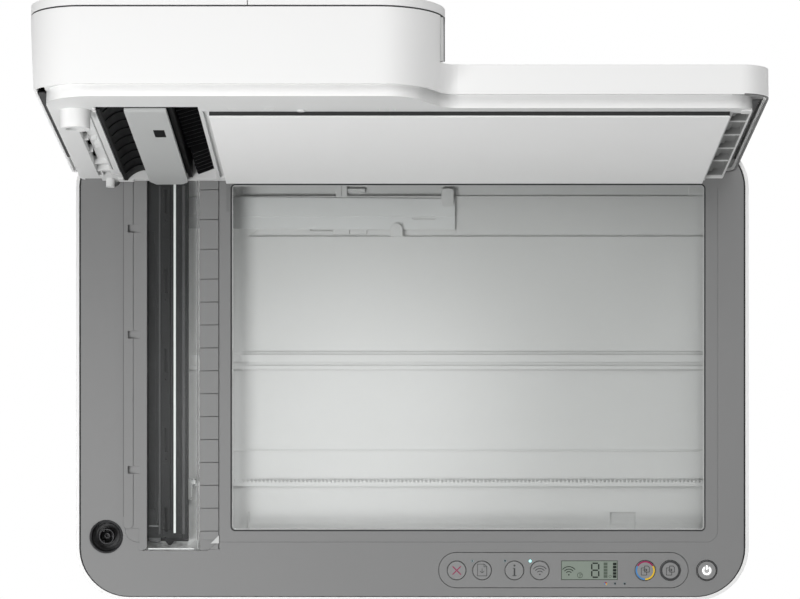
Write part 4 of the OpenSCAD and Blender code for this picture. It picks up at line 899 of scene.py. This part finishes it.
# Painted shade: black rings and strips stand for the shade in gaps and seams.
gap_painted_shade = plastic("gap_painted_shade_black", (0.03, 0.03, 0.031), 0.7, 1500, 0.2, edge=0.1)
pale_painted_highlight = plastic("pale_painted_highlight", (0.56, 0.565, 0.56), 0.4, 2400, 0.05, edge=0.05)
# left, right, front and rear edge, then the radius of the front and of the rear corners
WINDOW = (-114.6, 184.9, -120.0, 99.0, 3.0, 3.0)
PANEL_EDGE = (-209.0, 209.0, -161.0, 124.0, 30.5, 27.0)
CORNER_STEPS = 12
TIGHTEST = 0.6  # no corner gets a smaller radius than this


def rounded_plate(x0, x1, y0, y1, front, rear):
    """An outline whose two front corners and two rear corners have their own radii."""
    return (around(x0 + front, y0 + front, front, 180, 270, CORNER_STEPS)
            + around(x1 - front, y0 + front, front, 270, 360, CORNER_STEPS)
            + around(x1 - rear, y1 - rear, rear, 0, 90, CORNER_STEPS)
            + around(x0 + rear, y1 - rear, rear, 90, 180, CORNER_STEPS))


def edge_ring(name, edge, material, inset, width, top, thick):
    """A flat ring that follows an edge from inset inwards; a negative inset lies outside it."""
    x0, x1, y0, y1, front, rear = edge
    loops = [rounded_plate(x0 + d, x1 - d, y0 + d, y1 - d, max(TIGHTEST, front - d),
                           max(TIGHTEST, rear - d))
             for d in (inset, inset + width)]
    printed(name, [loops], (0, 0, top - thick / 2), material, "base", thick)


print("flatbed window", WINDOW[1] - WINDOW[0], "by", WINDOW[3] - WINDOW[2], "mm")

# %% [markdown]
# Two marks are moulded into the panel: a crease along the raised strip on the left, and a patch of
# fine dots beside the flatbed window's rear end. They are shallower than a tenth of a millimetre,
# so they are laid on as shade, which shows from far where a real groove would not.

# %% marks on the panel
panel_shade = plastic("panel_shade", (0.095, 0.096, 0.096), 0.6, 2200, 0.2, edge=0.05)
CREASE_X = -182.1
DOT_ROWS, DOT_COLUMNS = 27, 3
DOT_STEP, DOT_PITCH = 0.64, 0.8  # front to rear and left to right


def dress_panel():
    top = PANEL_MM + INK
    printed("strip_crease", [stroke(CREASE_X, 104, CREASE_X, -111, 0.4)], (0, 0, top), panel_shade,
            "base")
    dots = [[around(-117.1 + DOT_PITCH * column + DOT_PITCH / 2 * (row % 2),
                    98.4 - DOT_STEP * row, 0.2, steps=6)[:-1]]
            for row in range(DOT_ROWS) for column in range(DOT_COLUMNS)]
    printed("panel_dots", dots, (0, 0, top), panel_shade, "base")


dress_panel()
print("dots", DOT_ROWS * DOT_COLUMNS)

# %% [markdown]
# The rings are laid now. Their tops differ by tenths of a millimetre: the black ring stands over
# the glass, and the painted highlight hardly does. A small pale triangle, a painted highlight,
# marks the lit facet at the end of the ramp where a sheet leaves the feeder window.

# %% laying the painted rings
GLASS_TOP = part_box("feeder_glass")[1].z / MM


def dress_windows():
    z = GLASS_TOP
    edge_ring("flatbed_gap_shade", WINDOW, gap_painted_shade, inset=0.02, width=0.85, top=z + 0.6, thick=0.55)
    edge_ring("flatbed_painted_highlight", WINDOW, pale_painted_highlight, inset=0.9, width=0.6, top=z + 0.12, thick=0.1)
    edge_ring("panel_gap_shade", PANEL_EDGE, rubber_and_gap_shade, inset=-0.9, width=0.9, top=PANEL_MM - 0.1,
              thick=0.6)
    # Painted highlight on the lit facet at the ramp's end.
    facet = [(-127.2, -127.8), (-121.9, -127.6), (-121.9, -122.6)]
    printed("ramp_facet_painted_highlight", [[facet]], (0, 0, PANEL_MM + 0.1), pale_painted_highlight, "base", thick=0.2)
    moulding("feeder_painted_highlight_front", plate(-166.6, -137.6, -131.5, -130.9), z - 0.1, z + 0.12, lip_painted_highlight,
             "base", soften=0.05)
    moulding("feeder_painted_highlight_right", plate(-135.75, -135.3, -131, 113), z - 0.1, z + 0.12, lip_painted_highlight_dim,
             "base", soften=0.05)


dress_windows()
print("glass lies", round(PANEL_MM - GLASS_TOP, 2), "mm below the panel")

# %% [markdown]
# A dark ring of painted shade shows as a fine line in the seam between the feeder's body and its
# cover, from the left side, round both front corners, to the output bay. It's one loop there and
# back: out along its outer edge and home along its inner edge.

# %% the feeder's seam
FEEDER_FRONT, FEEDER_LEFT, FEEDER_RIGHT = -175, -216.8, 18.4
LEFT_CORNER, RIGHT_CORNER = 31, 39
BAY_TURN = 352  # degrees, where the right corner's arc meets the bay
# The seal here is that ring of painted shade in the seam.
SEAM_OUTER, SEAM_INNER = 0.2, 0.75  # how far inside the feeder's edge the seal starts and ends


def feeder_seam():
    outer, inner = [], []
    for line, inset in ((outer, SEAM_OUTER), (inner, SEAM_INNER)):
        left, right = LEFT_CORNER - inset, RIGHT_CORNER - inset
        line += [(FEEDER_LEFT + inset, 60)]
        line += around(FEEDER_LEFT + inset + left, FEEDER_FRONT + inset + left, left, 180, 270, 16)
        line += around(FEEDER_RIGHT - inset - right, FEEDER_FRONT + inset + right, right, 270,
                       BAY_TURN, 24)
    return outer + inner[::-1]


print("seam points", len(feeder_seam()))

# %% [markdown]
# Standing open, the lid shows its inside. Dark foam closes the hole in the press plate, a web with
# a dark slot of painted shade closes the front end of the output bay, and dark strips of painted
# shade lie in the gaps along the lid's sides. All of them are described for the closed lid and ride
# with it.

# %% inside the lid
# name, outline, its low and high level above the panel, material, softened edge
LID_PIECES = (
    ("press_plate_foam", plate(-151.5, -145.0, -74.6, -52.0), 1.36, 3.3, gloss_black, 0.0),
    ("bay_web", plate(15.4, 17.5, -149.3, -146.2), 27.0, 52.6, trim_white, 0.4),
    ("bay_slot_shade", plate(17.6, 18.15, -149.3, -146.2), 27.4, 52.4, gap_painted_shade, 0.0),
    ("cover_seam_shade", feeder_seam(), 53.3, 54.0, gap_painted_shade, 0.0),
    # Painted shade: dark strips in the gaps along the lid's sides.
    ("side_gap_shade_left", plate(-212.4, -208.3, -146, 58), 9.4, 10.1, gap_painted_shade, 0.0),
    ("side_gap_shade_right", plate(194.9, 198.9, -117, 74), 11.0, 12.0, dark_grey_and_gap_shade, 0.0),
)
for name, outline, low, high, material, soften in LID_PIECES:
    moulding(name, outline, PANEL_MM + low, PANEL_MM + high, material, "lid", soften, OPEN_LID)
print("lid pieces", len(LID_PIECES))

# %% [markdown]
# The machine stands on a plain pale sheet. A white floor under lamps still turns grey away from
# them, so the camera, and whatever looks through the glass, sees it as pure white. All other light
# meets a matt sheet, which throws it back up at the machine.

# %% floor
FLOOR_REACH = 6.0


def pale_floor():
    material = bpy.data.materials.new("pale_floor")
    material.use_nodes = True
    tree = material.node_tree
    shader = tree.nodes["Principled BSDF"]
    shader.inputs["Base Color"].default_value = (0.9, 0.9, 0.9, 1)
    shader.inputs["Roughness"].default_value = 0.9
    glow = add(tree, "ShaderNodeEmission", {"Strength": 1.0})
    by_ray(tree, ("Is Camera Ray", "Is Transmission Ray"), shader.outputs["BSDF"],
           glow.outputs["Emission"])
    mesh = bpy.data.meshes.new("floor")
    corners = plate(-FLOOR_REACH, FLOOR_REACH, -FLOOR_REACH, FLOOR_REACH)
    mesh.from_pydata([(x, y, 0) for x, y in corners], [], [(0, 1, 2, 3)])
    mesh.materials.append(material)
    floor = new_object("floor", mesh)


pale_floor()
print("floor", 2 * FLOOR_REACH, "m wide")

# %% [markdown]
# Five round lamps light the machine. Bare points would draw hard shadows, and wide discs soften
# them. The key lamp stands at the front left, one high above and one low at the right shape the
# standing lid, one behind lifts the feeder's edge, and a weak one in front lights the strip.

# %% lamps
# name, place and aim in metres, width in metres, power in watts
LAMPS = [
    ("key", (-0.58, -0.40, 1.02), (0, 0, 0.15), 0.6, 7.8),
    ("over", (0.2, 0.8, 2.0), (0, 0.05, 0.2), 1.0, 11.3),
    ("side", (1.7, -0.3, 0.56), (0.0, 0.15, 0.35), 0.6, 3.4),
    ("back", (0.9, 1.5, 1.3), (0.1, 0.2, 0.35), 0.8, 4.5),
    ("front_fill", (0.0, -1.8, 0.8), (0, 0, 0.25), 1.2, 1.5),
]


def soft_lamp(name, place, aim, size, power):
    data = bpy.data.lights.new(name, "AREA")
    data.shape = "DISK"
    data.size = size
    data.energy = power
    lamp = new_object(name, data)
    lamp.location = place
    lamp.rotation_euler = (Vector(aim) - Vector(place)).to_track_quat("-Z", "Y").to_euler()


for lamp in LAMPS:
    soft_lamp(*lamp)
print("lamps", [lamp[0] for lamp in LAMPS])

# %% [markdown]
# Round the lamps is an even, dim studio. The glass would mirror nothing in it and look missing, so
# one faint round glow hangs high above, where only the glass reflects it to the camera. A lamp
# there would also light the plastics, while a glow this small in the world hardly does.

# %% studio
GLOW_TOWARDS = Vector((-0.011, -0.030, 1)).normalized()
GLOW_SIZE = 0.065  # on a sphere of radius 1
GLOW_STRENGTH, STUDIO_STRENGTH = 2.8, 0.18


def studio_world():
    world = bpy.data.worlds.new("studio")
    world.use_nodes = True
    tree = world.node_tree
    place = add(tree, "ShaderNodeTexCoord")
    spread = add(tree, "ShaderNodeVectorMath", {0: place.outputs["Generated"], 1: GLOW_TOWARDS},
                 operation="DISTANCE")
    fade = add(tree, "ShaderNodeMapRange",
               {"Value": spread.outputs["Value"], "From Min": 0.0, "From Max": GLOW_SIZE,
                "To Min": GLOW_STRENGTH, "To Max": STUDIO_STRENGTH},
               interpolation_type="SMOOTHERSTEP")
    background = tree.nodes["Background"]
    feed(tree, background.inputs["Color"], (1, 1, 1, 1))
    feed(tree, background.inputs["Strength"], fade.outputs["Result"])
    bpy.context.scene.world = world


studio_world()
print("world", bpy.context.scene.world.name)

# %% [markdown]
# The camera hangs two and a half metres over the scanner panel and looks straight down, but for a
# few pixels' tilt. From that height the long lens follows from one fact: how many pixels a metre
# of the panel covers.

# %% camera
IMAGE_W = 800.0
SENSOR_MM = 36.0
PANEL_SCALE = 1586.0  # pixels that a metre of the panel covers
CAMERA_HEIGHT = 2.549
CAMERA_X, CAMERA_Y = -0.0027, 0.02607
NADIR_PX = 8.0  # how far right of the middle the point straight below the camera falls
focal_px = PANEL_SCALE * CAMERA_HEIGHT

camera_data = bpy.data.cameras.new("camera")
camera_data.sensor_width = SENSOR_MM
camera_data.lens = focal_px * SENSOR_MM / IMAGE_W
camera_data.clip_end = 20
camera = new_object("camera", camera_data)
camera.location = (CAMERA_X, CAMERA_Y, PANEL + CAMERA_HEIGHT)
camera.rotation_euler = (0, math.atan(NADIR_PX / focal_px), 0)
bpy.context.scene.camera = camera
print("lens", round(camera_data.lens, 1), "mm")

# %% [markdown]
# The Standard view keeps white paper-white. Blender's usual view would roll the brightest tones off
# to grey.

# %% look
bpy.context.scene.view_settings.view_transform = "Standard"
